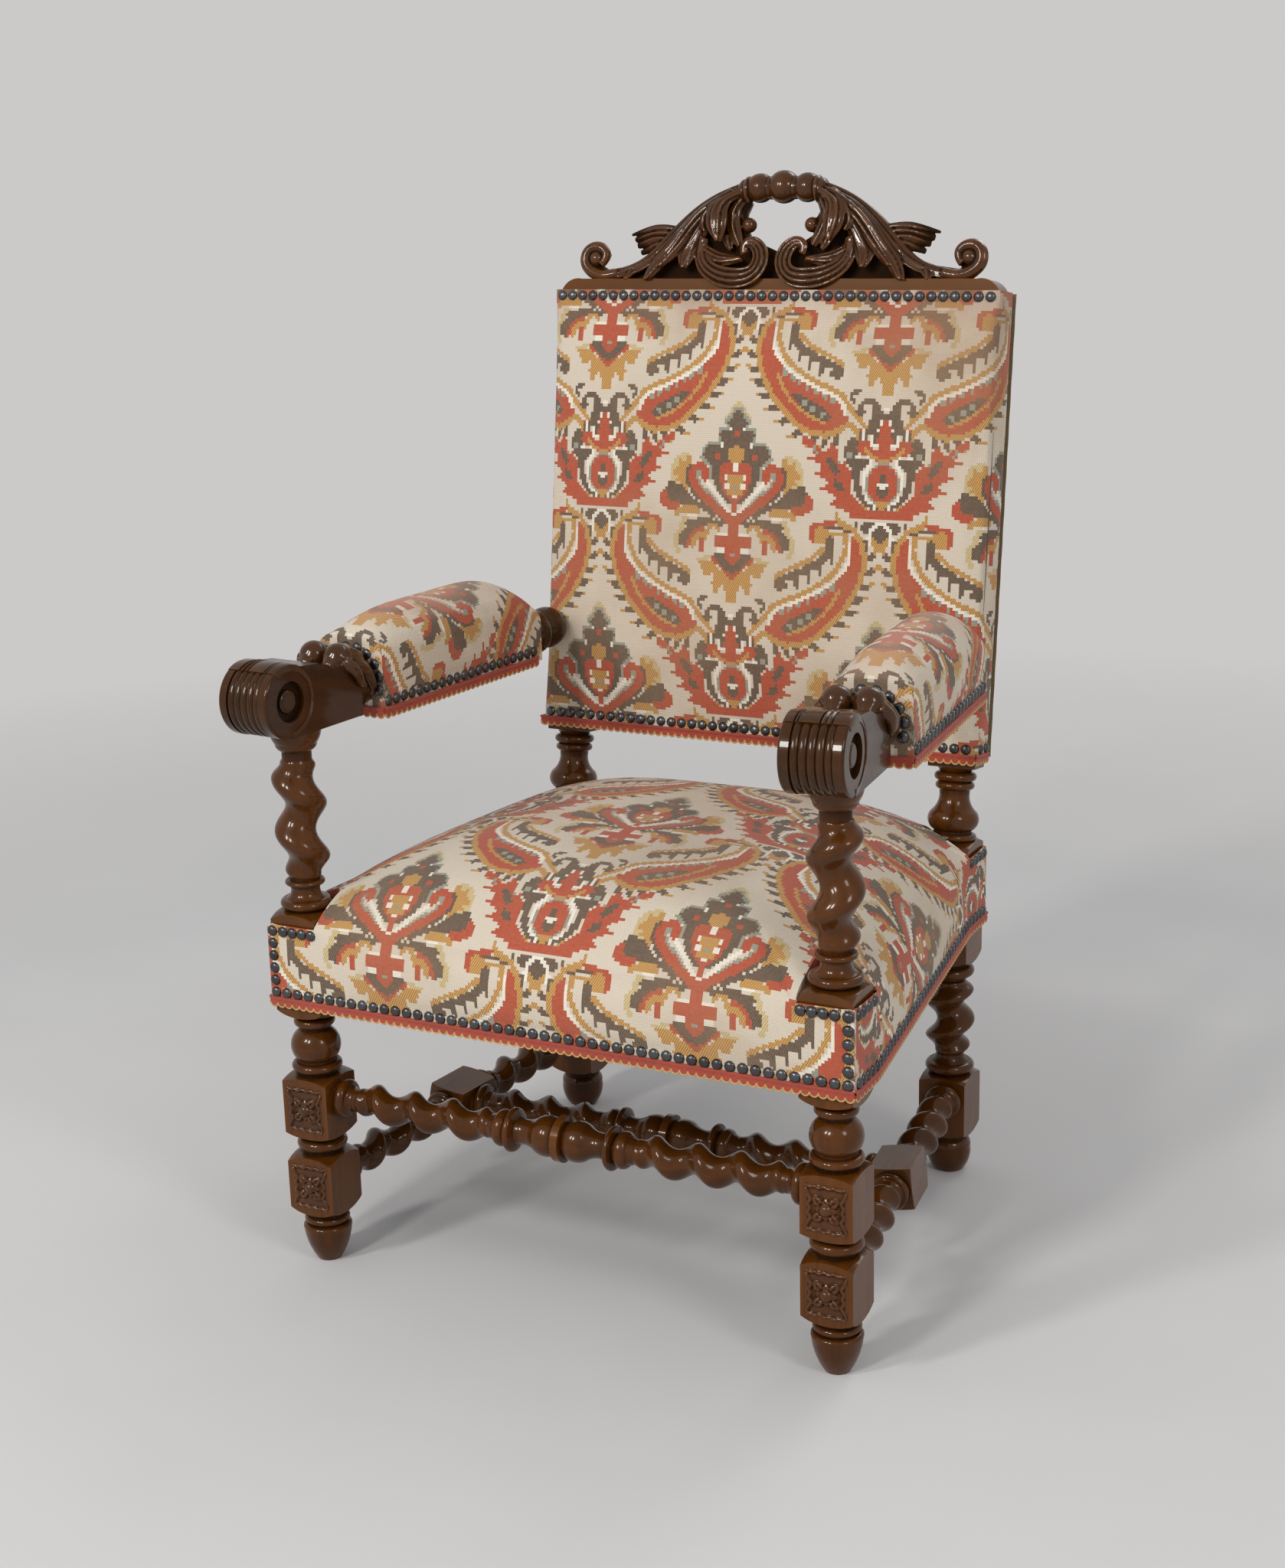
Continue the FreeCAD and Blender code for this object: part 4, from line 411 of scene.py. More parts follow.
# %% [markdown]
# ## The tapestry's pattern
# The cloth is a machine tapestry with a common paisley repeat: palmettes, pods and curled paisleys in
# columns 175 mm apart, each column half a repeat lower than its neighbour. The weaver draws such a
# pattern on squared paper, and here it is drawn the same way. Each motif is an outline, a rope or a disc,
# in mm from the column's middle line and up the cloth, and a small square of cloth takes the thread of
# the last motif that covers its middle. Only one half of a motif is drawn, because the other mirrors it.

# %% Threads and repeat
CREAM, RED, GOLD, TAUPE, GREEN, WHITE, PALE = range(7)
COLUMN, REPEAT = 175.0, 474.0
CELL = (COLUMN / 53, REPEAT / 144)


def filled(points, across, up):
    """Which of the places lie inside an outline."""
    inside = np.zeros(across.shape, bool)
    for (x1, y1), (x2, y2) in zip(points, points[1:] + points[:1]):
        if y1 == y2:
            continue
        crosses = (y1 > up) != (y2 > up)
        inside ^= crosses & (across < (x2 - x1) * (up - y1) / (y2 - y1) + x1)
    return inside


def roped(points, width, across, up):
    """Which of the places lie on a rope along some points."""
    near = np.full(across.shape, 1e9)
    for (x1, y1), (x2, y2) in zip(points, points[1:]):
        run = (x2 - x1) ** 2 + (y2 - y1) ** 2
        share = np.clip(((across - x1) * (x2 - x1) + (up - y1) * (y2 - y1)) / run, 0, 1)
        near = np.minimum(near, np.hypot(across - x1 - share * (x2 - x1), up - y1 - share * (y2 - y1)))
    return near < width / 2


def oval(centre, radii, across, up):
    """Which of the places lie in an oval."""
    return ((across - centre[0]) / radii[0]) ** 2 + ((up - centre[1]) / radii[1]) ** 2 < 1


print("A square of cloth in mm:", [round(part, 2) for part in CELL])

# %% Paisley
OUTER_ROPE = [(125, 355), (145, 345), (155, 330), (158, 315), (157, 300), (153, 285), (145, 270),
    (137, 257), (126, 243), (112, 230), (98, 219), (81, 213), (69, 212), (58, 215), (45, 223), (38, 224),
    (32, 216), (25, 205)]
INNER_ROPE = [(134, 341), (137, 328), (135, 318), (128, 303), (117, 291), (98, 278), (80, 269), (64, 263),
    (52, 257), (45, 247), (40, 240), (29, 229), (21, 220)]
WHITE_LINE = [(141, 330), (139, 308), (131, 296), (122, 286), (105, 275), (83, 264), (64, 256), (51, 249),
    (48, 237)]
RED_RING = [(146, 318), (144, 300), (135, 284), (128, 267), (117, 250), (103, 236), (87, 226), (68, 220),
    (52, 227)]
COMB = [(117, 334), (117, 320), (110, 312), (98, 304), (84, 296), (70, 291), (60, 286), (56, 281)]


def barbs():
    """Short threads that stand out from the outer rope, each with a gold tip."""
    fringe = []
    for (x1, y1), (x2, y2) in zip(OUTER_ROPE[2:14], OUTER_ROPE[3:15]):
        run = math.hypot(x2 - x1, y2 - y1)
        along = ((x2 - x1) / run, (y2 - y1) / run)
        out = (-along[1], along[0])
        root = (x1 + out[0] * 4, y1 + out[1] * 4)
        knee = (root[0] + out[0] * 5 - along[0] * 4, root[1] + out[1] * 5 - along[1] * 4)
        tip = (knee[0] + out[0] * 5 - along[0] * 6, knee[1] + out[1] * 5 - along[1] * 6)
        fringe += [("rope", GOLD, [knee, tip], 4), ("rope", TAUPE, [root, knee], 7.5)]
    return fringe


PAISLEY = barbs() + [
    ("fill", RED, OUTER_ROPE[1:16] + WHITE_LINE[::-1]), ("rope", RED, RED_RING, 7),
    *[("fill", GREEN, [(x - 3, y - 2), (x + 2, y), (x + 2, y - 8), (x - 3, y - 9)])
        for x, y in WHITE_LINE[3:7] + [(113, 280), (94, 269), (73, 260)]],
    ("rope", GOLD, [(130, 278), (123, 263), (113, 250), (101, 240), (88, 232), (71, 226)], 3.6),
    ("fill", TAUPE, [(112, 256), (104, 258), (90, 250), (74, 242), (64, 232), (66, 226), (80, 230),
        (98, 240)]),
    ("oval", GREEN, (96, 246), (3.2, 3.2)), ("oval", GREEN, (85, 240), (3.4, 3.4)),
    ("oval", GREEN, (74, 234), (3.4, 3.4)), ("rope", TAUPE, [(140, 330), (140, 316)], 4),
    ("rope", WHITE, WHITE_LINE, 4.4), ("rope", GOLD, INNER_ROPE, 6), ("rope", GOLD, OUTER_ROPE, 6.6),
    ("rope", TAUPE, [(139, 343), (128, 347), (114, 346)], 3.4),
    ("rope", GOLD, [(125, 355), (123, 363)], 5),
    ("rope", GOLD, [(134, 341), (124, 341), (116, 338)], 4.5), ("oval", RED, (103, 341), (11, 12)),
    ("rope", RED, [(122, 353), (112, 352), (104, 348)], 5), ("oval", GOLD, (107, 338), (9.5, 10)),
    ("rope", GOLD, [(112, 325), (97, 312), (80, 303), (65, 297), (55, 290)], 5),
    ("rope", TAUPE, COMB, 8.5), ("rope", TAUPE, [(56, 281), (60, 276), (66, 279), (65, 284)], 5),
    *[("rope", TAUPE, [(x, y), (x + 1, y - 9)], 5) for x, y in ((119, 318), (106, 303), (93, 296),
        (79, 288))],
]

# %% Palmette
LEAF = [(0, 476), (3, 475), (6, 468), (12, 462), (12, 458), (9, 456), (9, 452), (20, 452), (22, 448),
    (21, 441), (16, 438), (16, 432), (28, 436), (34, 434), (40, 428), (42, 421), (40, 418), (34, 414),
    (30, 409), (29, 398), (26, 390), (22, 383), (18, 378), (13, 373), (8, 369), (0, 367)]
PALMETTE = [
    ("rope", PALE, [(0, 482), (8, 474), (16, 462)], 4), ("rope", GREEN, LEAF[:20], 6),
    ("fill", TAUPE, LEAF), ("fill", WHITE, [(7, 455), (11, 455), (11, 450), (7, 450)]),
    ("fill", WHITE, [(15, 437), (21, 437), (21, 430), (15, 430)]),
    ("fill", RED, [(0, 452), (4, 450), (4, 445), (0, 444)]), ("oval", RED, (24, 421), (3.4, 3.4)),
    ("fill", GOLD, [(0, 436), (4, 435), (5, 431), (11, 430), (9, 422), (7, 414), (0, 413)]),
    ("fill", RED, [(0, 408), (3, 415), (14, 415), (19, 409), (19, 396), (18, 390), (15, 383), (11, 377),
        (7, 374), (3.6, 371), (3.6, 350), (0, 350)]),
    ("fill", WHITE, [(0, 414), (3, 414), (3, 404), (0, 404)]),
    ("fill", GOLD, [(0, 402), (9, 400), (11, 388), (8, 379), (0, 377)]),
    ("fill", WHITE, [(9, 401), (14, 401), (14, 395), (9, 395)]),
    ("fill", WHITE, [(8, 391), (12, 391), (12, 384), (8, 384)]),
    ("fill", WHITE, [(0, 379), (3, 379), (3, 374), (0, 374)]), ("oval", GREEN, (0, 387), (3.4, 3.4)),
    ("fill", PALE, [(58, 424), (66, 424), (76, 420), (84, 406), (82, 390), (72, 388), (64, 400)]),
    ("fill", GOLD, [(56, 421), (62, 420), (64, 414), (72, 417), (74, 408), (80, 404), (78, 398),
        (72, 397), (76, 391), (68, 390), (61, 382), (60, 392), (62, 400), (58, 410)]),
    ("fill", TAUPE, [(21, 350), (28, 362), (54, 374), (66, 387), (77, 391), (85, 391), (89, 384),
        (92, 376), (82, 368), (68, 366), (56, 365), (42, 361)]),
    ("fill", RED, [(88, 383), (97, 376), (96, 367), (90, 362), (80, 358), (72, 361), (66, 366), (80, 369),
        (86, 374)]),
    ("fill", GOLD, [(40, 355), (45, 363), (52, 366), (63, 366), (73, 361), (78, 353), (73, 350),
        (68, 356), (58, 357)]),
    ("rope", PALE, [(58, 352), (64, 348), (66, 338), (72, 330), (73, 318), (68, 312)], 6),
    ("fill", WHITE, [(47, 356), (61, 356), (61, 351), (47, 351)]),
    ("fill", TAUPE, [(8, 350), (21, 348), (33, 354), (45, 351), (59, 348), (63, 343), (58, 339),
        (66, 335), (70, 328), (67, 318), (59, 317), (56, 329), (49, 338), (40, 340), (28, 346),
        (16, 342)]),
    ("rope", RED, [(38, 339), (48, 335), (54, 328), (57, 320)], 6),
    ("fill", GOLD, [(16, 341), (21, 346), (31, 345), (36, 336), (42, 337), (50, 332), (55, 318),
        (50, 317), (45, 324), (38, 328), (33, 326), (30, 336), (24, 342), (19, 335)]),
    ("fill", RED, [(38, 330), (44, 330), (44, 318), (41, 312), (37, 314)]),
    ("rope", WHITE, [(3, 356), (8, 362), (14, 369), (20, 376), (26, 382), (32, 388), (36, 394)], 5),
    ("rope", GREEN, [(9, 356), (16, 363), (24, 371), (32, 378), (40, 385), (46, 391), (48, 398)], 5),
    ("rope", TAUPE, [(10, 352), (24, 360), (36, 370), (49, 379), (57, 389), (60, 400), (57, 409)], 8),
    ("rope", RED, [(0, 345), (9, 355), (21, 362), (33, 372), (45, 381), (52, 390), (55, 399), (52, 407),
        (44, 409), (38, 405), (38, 398)], 10),
    ("oval", GREEN, (45, 402), (3.4, 3.4)), ("fill", WHITE, [(8, 337), (19, 337), (19, 333), (8, 333)]),
    ("fill", WHITE, [(8, 319), (20, 319), (20, 314), (8, 314)]),
    ("fill", RED, [(0, 352), (8, 350), (8, 332), (24, 331), (24, 320), (8, 319), (10, 312), (25, 310),
        (25, 304), (16, 296), (8, 290), (0, 283)]),
    ("fill", TAUPE, [(10, 313), (23, 313), (21, 304), (12, 297), (0, 288), (0, 298), (6, 303), (9, 308)]),
    ("oval", GREEN, (0, 311), (3.4, 3.4)), ("rope", PALE, [(27, 307), (44, 305)], 4),
    ("fill", GOLD, [(0, 283), (10, 291), (20, 298), (24, 304), (44, 303), (38, 293), (34, 286), (28, 285),
        (24, 289), (25, 278), (22, 267), (16, 267), (14, 276), (10, 278), (8, 268), (5, 258), (0, 254)]),
]

# %% Antlers, pod and flower
POD = [
    ("fill", GREEN, [(38, 154), (44, 172), (52, 186), (56, 182), (48, 166), (42, 152)]),
    ("fill", RED, [(0, 121), (28, 121), (39, 125), (36, 129), (49, 131), (60, 138), (50, 142), (56, 147),
        (72, 153), (63, 158), (66, 164), (80, 170), (71, 174), (74, 180), (88, 186), (79, 190), (84, 196),
        (98, 204), (94, 210), (84, 207), (76, 201), (70, 194), (65, 196), (62, 206), (56, 200), (52, 192),
        (53, 186), (50, 180), (45, 185), (38, 173), (36, 160), (36, 150), (30, 144), (24, 138), (18, 132),
        (0, 130)]),
    ("fill", TAUPE, [(50, 172), (56, 184), (62, 190), (67, 186), (63, 176), (56, 168)]),
    ("fill", TAUPE, [(42, 150), (48, 160), (55, 164), (57, 158), (50, 151)]),
    ("fill", GREEN, [(74, 190), (80, 199), (84, 200), (80, 192)]),
    ("rope", GOLD, [(31, 156), (28, 148), (18, 135)], 4),
    ("fill", TAUPE, [(30, 206), (38, 212), (44, 201), (48, 192), (44, 185), (38, 178), (35, 167),
        (34, 155), (27, 144), (19, 136), (10, 131), (0, 130), (0, 136), (10, 137), (17, 142), (22, 150),
        (26, 160), (27, 170), (24, 176), (30, 188), (31, 200)]),
    ("rope", WHITE, [(14, 184), (17, 190), (24, 193), (31, 188)], 4),
    ("fill", TAUPE, [(17, 186), (23, 190), (29, 186), (27, 178), (22, 176), (18, 180)]),
    ("fill", GREEN, [(36, 196), (42, 194), (42, 188), (36, 188)]),
    ("rope", WHITE, [(16, 180), (21, 172), (22, 164)], 5), ("oval", WHITE, (21, 157), (3.2, 3.2)),
    ("oval", WHITE, (18, 146), (3.2, 3.2)), ("oval", WHITE, (14, 140), (3.2, 3.2)),
    ("oval", WHITE, (9, 135), (3, 3)), ("oval", GREEN, (0, 160), (19.5, 24)),
    ("oval", RED, (0, 160), (17, 22)), ("fill", GOLD, [(0, 142), (6, 141), (6, 134), (0, 133)]),
    ("oval", TAUPE, (0, 152), (8, 6.5)), ("oval", TAUPE, (0, 166), (4, 4)),
    ("fill", WHITE, [(0, 159), (7, 162), (7, 157), (0, 155)]),
    ("fill", RED, [(0, 199), (13, 199), (15, 204), (22, 209), (31, 205), (32, 197), (24, 192), (14, 190),
        (10, 186), (0, 184)]),
    ("rope", GOLD, [(22, 199), (13, 190), (0, 185)], 4),
    ("fill", WHITE, [(0, 237), (3, 237), (3, 231), (7, 231), (7, 223), (12, 223), (12, 216), (16, 216),
        (16, 202), (0, 202)]),
    ("fill", TAUPE, [(8, 216), (12, 214), (12, 203), (8, 203)]),
    ("fill", RED, [(0, 230), (3, 229), (6, 222), (8, 214), (9, 206), (7, 197), (0, 195)]),
    ("fill", TAUPE, [(19, 206), (29, 206), (29, 220), (19, 220)]),
    ("fill", WHITE, [(22, 207), (26, 207), (26, 221), (22, 221)]),
    ("fill", RED, [(24, 222), (31, 222), (31, 216), (27, 216)]),
    ("fill", TAUPE, [(4, 240), (8, 247), (14, 254), (25, 254), (28, 249), (35, 248), (38, 252), (38, 257),
        (30, 259), (30, 264), (38, 264), (42, 258), (42, 251), (36, 246), (28, 244), (24, 246), (18, 247),
        (16, 240), (18, 230), (22, 216), (16, 213), (10, 216), (6, 226), (4, 232), (0, 232), (0, 238),
        (4, 238)]),
    ("oval", TAUPE, (30, 239), (5.5, 5)), ("fill", WHITE, [(0, 245), (3, 245), (3, 239), (0, 239)]),
    ("fill", TAUPE, [(6, 119), (20, 119), (24, 113), (20, 106), (14, 104), (8, 112)]),
    ("fill", TAUPE, [(25, 120), (31, 120), (31, 113), (25, 112)]),
    ("fill", WHITE, [(0, 119), (5, 118), (10, 114), (14, 110), (15, 100), (12, 92), (0, 88)]),
    ("fill", TAUPE, [(0, 114), (6, 113), (10, 108), (11, 100), (6, 94), (0, 92)]),
    ("fill", GOLD, [(0, 96), (8, 101), (11, 98), (8, 91), (0, 88)]),
    ("fill", TAUPE, [(13, 88), (18, 88), (18, 84), (13, 84)]),
]


# %% The thread at each place on the cloth
LOWEST = 80
DRAWN = {"fill": filled, "rope": roped, "oval": oval}


def threads(across, up):
    """The thread that shows at places given in mm across and up the cloth."""
    column = np.round(across / COLUMN)
    beside = np.abs(across - column * COLUMN)
    lower = np.where(column % 2 == 1, REPEAT / 2, 0)
    shown = np.full(across.shape, CREAM)
    for kind, thread, *facts in PAISLEY + PALMETTE + POD:
        for reach, drop in ((COLUMN - beside, REPEAT / 2 - lower), (beside, lower)):
            height = (up - drop - LOWEST) % REPEAT + LOWEST
            shown[DRAWN[kind](*facts, reach, height)] = thread
    return shown


print("Motifs drawn:", len(PAISLEY) + len(PALMETTE) + len(POD))

# %% [markdown]
# ## Cloth as squares
# A cover is laid out flat first, as a grid whose squares are the squares of the pattern, and each grid
# point is then put where that bit of cloth lies on the padding. So no thread is stretched, the pattern
# runs over the front edge of the seat without a break, and each square keeps one colour. A section
# through the padding has an arched top, round shoulders and straight sides, as the solid under it has.

# %% Padded section
SLIVER, SPARE, STATIONS, NO_AREA = 0.6, 4, 400, 2e-8


def clamped(value):
    return min(1, max(0, value))


def swell(share, sharpness):
    """Rise of a padded top: nought at either end and one in the middle."""
    return (1 - abs(2 * share - 1) ** sharpness) ** 0.75


def section(half, low, edge, crown, shoulder, full=2.0):
    """A section from the middle of its top to its foot: length along the cloth, across and height."""
    slope = math.atan2(full * max(crown - edge - shoulder, 0), half - shoulder)
    reach = (half - shoulder * (1 - math.sin(slope)), edge + shoulder * math.cos(slope))
    top = max(crown, reach[1] + shoulder / 50)
    places = [(x, top - (top - reach[1]) * (x / reach[0]) ** full) for x in np.linspace(0, reach[0], 30)]
    places += [(half - shoulder + shoulder * math.cos(turn), edge + shoulder * math.sin(turn))
               for turn in np.linspace(math.pi / 2 - slope, 0, 12)[1:]] + [(half, low)]
    across, height = np.array(places).T
    along = np.concatenate([[0], np.cumsum(np.hypot(np.diff(across), np.diff(height)))])
    return along, across, height


def lines(first, last, cell, shift, fixed):
    """Grid lines of the pattern between two ends, with the ends and some folds among them."""
    fixed = sorted({first, last, *fixed})
    steps = np.arange(math.ceil((first + shift) / cell), (last + shift) / cell) * cell - shift
    free = [step for step in steps if min(abs(step - place) for place in fixed) > SLIVER]
    return np.array(sorted(free + fixed))


print("Cloth over half of a box 600 wide and 100 high, in mm:", round(section(300, 0, 90, 100, 10)[0][-1]))

# %% A cover laid over its padding
def cover(name, sizes_at, ends, low, place, shift, faces=(True, True)):
    """A sheet over a padding, with the pattern's place kept as its UV map."""
    def profile(station):
        half, *rest = sizes_at(station)
        return section(half, low, *rest)

    stations = np.linspace(ends[0], ends[1], STATIONS)
    crowns = np.array([profile(t)[2][0] for t in stations])
    path = np.concatenate([[0], np.cumsum(np.hypot(np.diff(stations), np.diff(crowns)))])
    drops = [crowns[0] - low if faces[0] else 0, crowns[-1] - low if faces[1] else 0]
    halves = [sizes_at(ends[0])[0], sizes_at(ends[1])[0]]
    reach = max(profile(t)[0][-1] for t in stations[::20]) + SPARE
    folds = [side * half for half in halves for side in (-1, 1)]
    us = lines(-reach, reach, CELL[0], shift[0], folds)
    vs = lines(-drops[0], path[-1] + drops[1], CELL[1], shift[1], [0, path[-1]])
    piece = grid(name, len(us) - 1, len(vs) - 1)
    sheet = bmesh.new()
    sheet.from_mesh(piece.data)
    order = sorted(sheet.verts, key=lambda vert: (round(vert.co.y, 6), round(vert.co.x, 6)))
    flat = {}
    for row, v in enumerate(vs):
        t = float(np.interp(v, path, stations))
        along, across, height = profile(t)
        depth = max(-v, v - path[-1], 0)
        side = np.minimum(np.abs(us), along[-1])
        if depth > 0:
            x = np.minimum(np.abs(us), across[-1])
            top = np.interp(x, across[:-1], height[:-1])
            z = top - depth * (top - low) / (height[0] - low)
        else:
            x, z = np.interp(side, along, across), np.interp(side, along, height)
        for column, u in enumerate(us):
            vert = order[row * len(us) + column]
            vert.co = Vector(place(math.copysign(x[column], u), t, z[column])) * MM
            flat[vert] = (u + shift[0], v + shift[1])
    uv = sheet.loops.layers.uv.verify()
    for face in sheet.faces:
        for loop in face.loops:
            loop[uv].uv = Vector(flat[loop.vert]) * MM
    gone = []
    for face in sheet.faces:
        u = abs(sum(flat[vert][0] for vert in face.verts) / 4 - shift[0])
        v = sum(flat[vert][1] for vert in face.verts) / 4 - shift[1]
        if (v < 0 and u > halves[0]) or (v > path[-1] and u > halves[1]) or face.calc_area() < NO_AREA:
            gone.append(face)
    bmesh.ops.delete(sheet, geom=gone, context="FACES")
    sheet.to_mesh(piece.data)
    sheet.free()
    return piece


def cut_away(piece, inside):
    """Takes out the squares whose middle is at some places."""
    sheet = bmesh.new()
    sheet.from_mesh(piece.data)
    gone = [face for face in sheet.faces if inside(face.calc_center_median() / MM)]
    bmesh.ops.delete(sheet, geom=gone, context="FACES")
    sheet.to_mesh(piece.data)
    sheet.free()
    print(piece.name, "squares cut away:", len(gone))


def open_corners(piece, front, rear, above=0):
    """Cuts a sheet round four posts. Front and rear are each a depth and a half width."""
    only(piece)
    bpy.ops.object.mode_set(mode="EDIT")
    planes = [((side * half, 0, 0), (1, 0, 0)) for depth, half in (front, rear) for side in (-1, 1)]
    planes += [((0, depth, 0), (0, 1, 0)) for depth, half in (front, rear)]
    if above:
        planes.append(((0, 0, above), (0, 0, 1)))
    for point, normal in planes:
        bpy.ops.mesh.select_all(action="SELECT")
        bpy.ops.mesh.bisect(plane_co=Vector(point) * MM, plane_no=normal)
    bpy.ops.object.mode_set(mode="OBJECT")
    cut_away(piece, lambda spot: spot.z > above and ((spot.y < front[0] and abs(spot.x) > front[1])
                                                     or (spot.y > rear[0] and abs(spot.x) > rear[1])))


def dye(piece, finish):
    """Gives each square the thread of its middle, kept as a colour on its corners, and the cloth's look."""
    mesh = piece.data
    flat = np.zeros(len(mesh.loops) * 2)
    mesh.uv_layers.active.uv.foreach_get("vector", flat)
    flat = flat.reshape(-1, 2) / MM
    starts = np.array([face.loop_start for face in mesh.polygons])
    counts = np.array([face.loop_total for face in mesh.polygons])
    middle = np.add.reduceat(flat, starts) / counts[:, None]
    middle = (np.floor(middle / CELL) + 0.5) * CELL
    thread = threads(middle[:, 0], middle[:, 1])
    shades = np.ones((len(mesh.loops), 4))
    shades[:, :3] = (np.repeat(thread, counts) / 10)[:, None]
    layer = mesh.color_attributes.new("thread", "FLOAT_COLOR", "CORNER")
    layer.data.foreach_set("color", shades.ravel())
    mesh.materials.append(finish)
    print(piece.name, "squares:", len(mesh.polygons))


# %% [markdown]
# ## Nails
# Close nails hold the covers. Each is a thin dome of darkened metal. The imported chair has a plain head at
# every place, so the places are read from those heads: the points of one head lie round its axis, which
# is the direction in which they vary least. One dome is modelled and a copy stands at each place.

# %% The places of the nail heads
def heads(node):
    """The foot and the outward direction of each nail head of a node."""
    sheet = bmesh.new()
    sheet.from_mesh(node.data)
    bmesh.ops.remove_doubles(sheet, verts=sheet.verts, dist=0.01 * MM)
    seen, found = set(), []
    for vert in sheet.verts:
        if vert in seen:
            continue
        head, waiting = [], [vert]
        seen.add(vert)
        while waiting:
            point = waiting.pop()
            head.append(point.co)
            near = [edge.other_vert(point) for edge in point.link_edges]
            waiting += [other for other in near if other not in seen]
            seen.update(near)
        spots = np.array(head)
        middle = spots.mean(axis=0)
        axis = np.linalg.svd(spots - middle)[2][2]
        rise = (spots - middle) @ axis
        wide = np.linalg.norm(spots - middle - np.outer(rise, axis), axis=1).argmax()
        out = -axis if rise[wide] > 0 else axis
        found.append((Vector(middle + out * ((spots[wide] - middle) @ out)), Vector(out)))
    sheet.free()
    return found


NAILED = {name: heads(nodes[name])
          for name in ("seat_nails", "back_nails", "arm_nails_right", "arm_nails_left")}
print("Nail heads:", {name: len(found) for name, found in NAILED.items()})

# %% Copies of one unit
def standing(foot, out, along=None, stretch=1.0):
    """The frame of a unit: X along its row, Y out of the cloth."""
    along = Vector(along or (Vector((0, 0, 1)) if abs(out.z) < 0.9 else Vector((1, 0, 0))))
    along = (along - out * along.dot(out)).normalized()
    turn = Matrix((along * stretch, out, along.cross(out))).transposed()
    return Matrix.Translation(foot) @ turn.to_4x4()


def repeated(name, unit, frames, finishes, replaced):
    """One piece made of copies of a unit, each with its own points and faces."""
    mesh = bpy.data.meshes.new(name)
    spots, faces, colours, count = [], [], [], len(unit.data.vertices)
    for index, place in enumerate(frames):
        spots += [place @ vert.co for vert in unit.data.vertices]
        faces += [[corner + index * count for corner in face.vertices] for face in unit.data.polygons]
        colours += [face.material_index for face in unit.data.polygons]
    mesh.from_pydata(spots, [], faces)
    for finish in finishes:
        mesh.materials.append(finish)
    mesh.polygons.foreach_set("material_index", colours)
    piece = linked(name, mesh)
    smoothed(piece, 55)
    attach(piece, "root")
    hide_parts(replaced)
    print(name, "units:", len(frames), "faces:", len(faces))


# %% One nail head
NAIL_RADIUS, NAIL_SUNK, NAIL_TIP = 6, 0.6, 0.7
NAIL_RINGS = ((0.9, 1.0), (1.5, 0.86), (1.1, 0.68))
bpy.ops.object.select_all(action="DESELECT")
bpy.ops.mesh.primitive_circle_add(vertices=10, radius=NAIL_RADIUS * MM, fill_type="NGON")
nail = bpy.context.object
bpy.ops.object.mode_set(mode="EDIT")
bpy.ops.mesh.select_all(action="SELECT")
for rise, narrow in NAIL_RINGS:
    bpy.ops.mesh.extrude_region_move(TRANSFORM_OT_translate={"value": (0, 0, rise * MM)})
    bpy.ops.transform.resize(value=(narrow, narrow, 1))
bpy.ops.mesh.poke(offset=NAIL_TIP * MM)
bpy.ops.mesh.select_all(action="SELECT")
bpy.ops.transform.rotate(value=math.pi / 2, orient_axis="X", center_override=(0, 0, 0))
bpy.ops.object.mode_set(mode="OBJECT")
for vert in nail.data.vertices:
    vert.co.y = abs(vert.co.y) - NAIL_SUNK * MM
print("Faces of a nail head:", len(nail.data.polygons))

# %% Darkened metal
pewter = Finish("nail_metal", Metallic=0.9, Roughness=0.3)
dull = pewter.noise(pewter.place(), 160, 3)
patina = pewter.noise(pewter.place(), 30, 2)
shade = pewter.blend(pewter.patchy(patina, 0.35, 2), srgb(92, 92, 94), srgb(58, 52, 50))
nail_finish = pewter.finish(Base_Color=shade, Roughness=(dull * 0.25 + 0.18).held())
for name, found in NAILED.items():
    repeated(name.replace("nails", "nail_heads"), nail, [standing(foot, out) for foot, out in found],
             [nail_finish], name)
bpy.data.objects.remove(nail, do_unlink=True)

# %% [markdown]
# ## Padding that is full
# A tight cover over stuffing still swells a little between the places where it is held. Cloth simulation
# gives that: the sheet is pinned along its nailed edges and air pressure stands for the stuffing. Points
# that nearly touch are merged first, because an edge with no length stops the simulation. How far each
# point moved is then held under a cap of a few millimetres. The cover ends as a plain mesh.

# %% Simulated swelling
NEARLY_TOUCHING, NAIL_REACH, LAST_FRAME = 0.3, 9, 8


def nailed(piece, name):
    """The points that nails hold, and those along the sheet's open edges."""
    tree = KDTree(len(NAILED[name]))
    for index, (foot, out) in enumerate(NAILED[name]):
        tree.insert(foot, index)
    tree.balance()
    near = [vert.index for vert in piece.data.vertices if tree.find(vert.co)[2] < NAIL_REACH * MM]
    sheet = bmesh.new()
    sheet.from_mesh(piece.data)
    rim = [vert.index for vert in sheet.verts if vert.is_boundary]
    sheet.free()
    return sorted({*rim, *near})


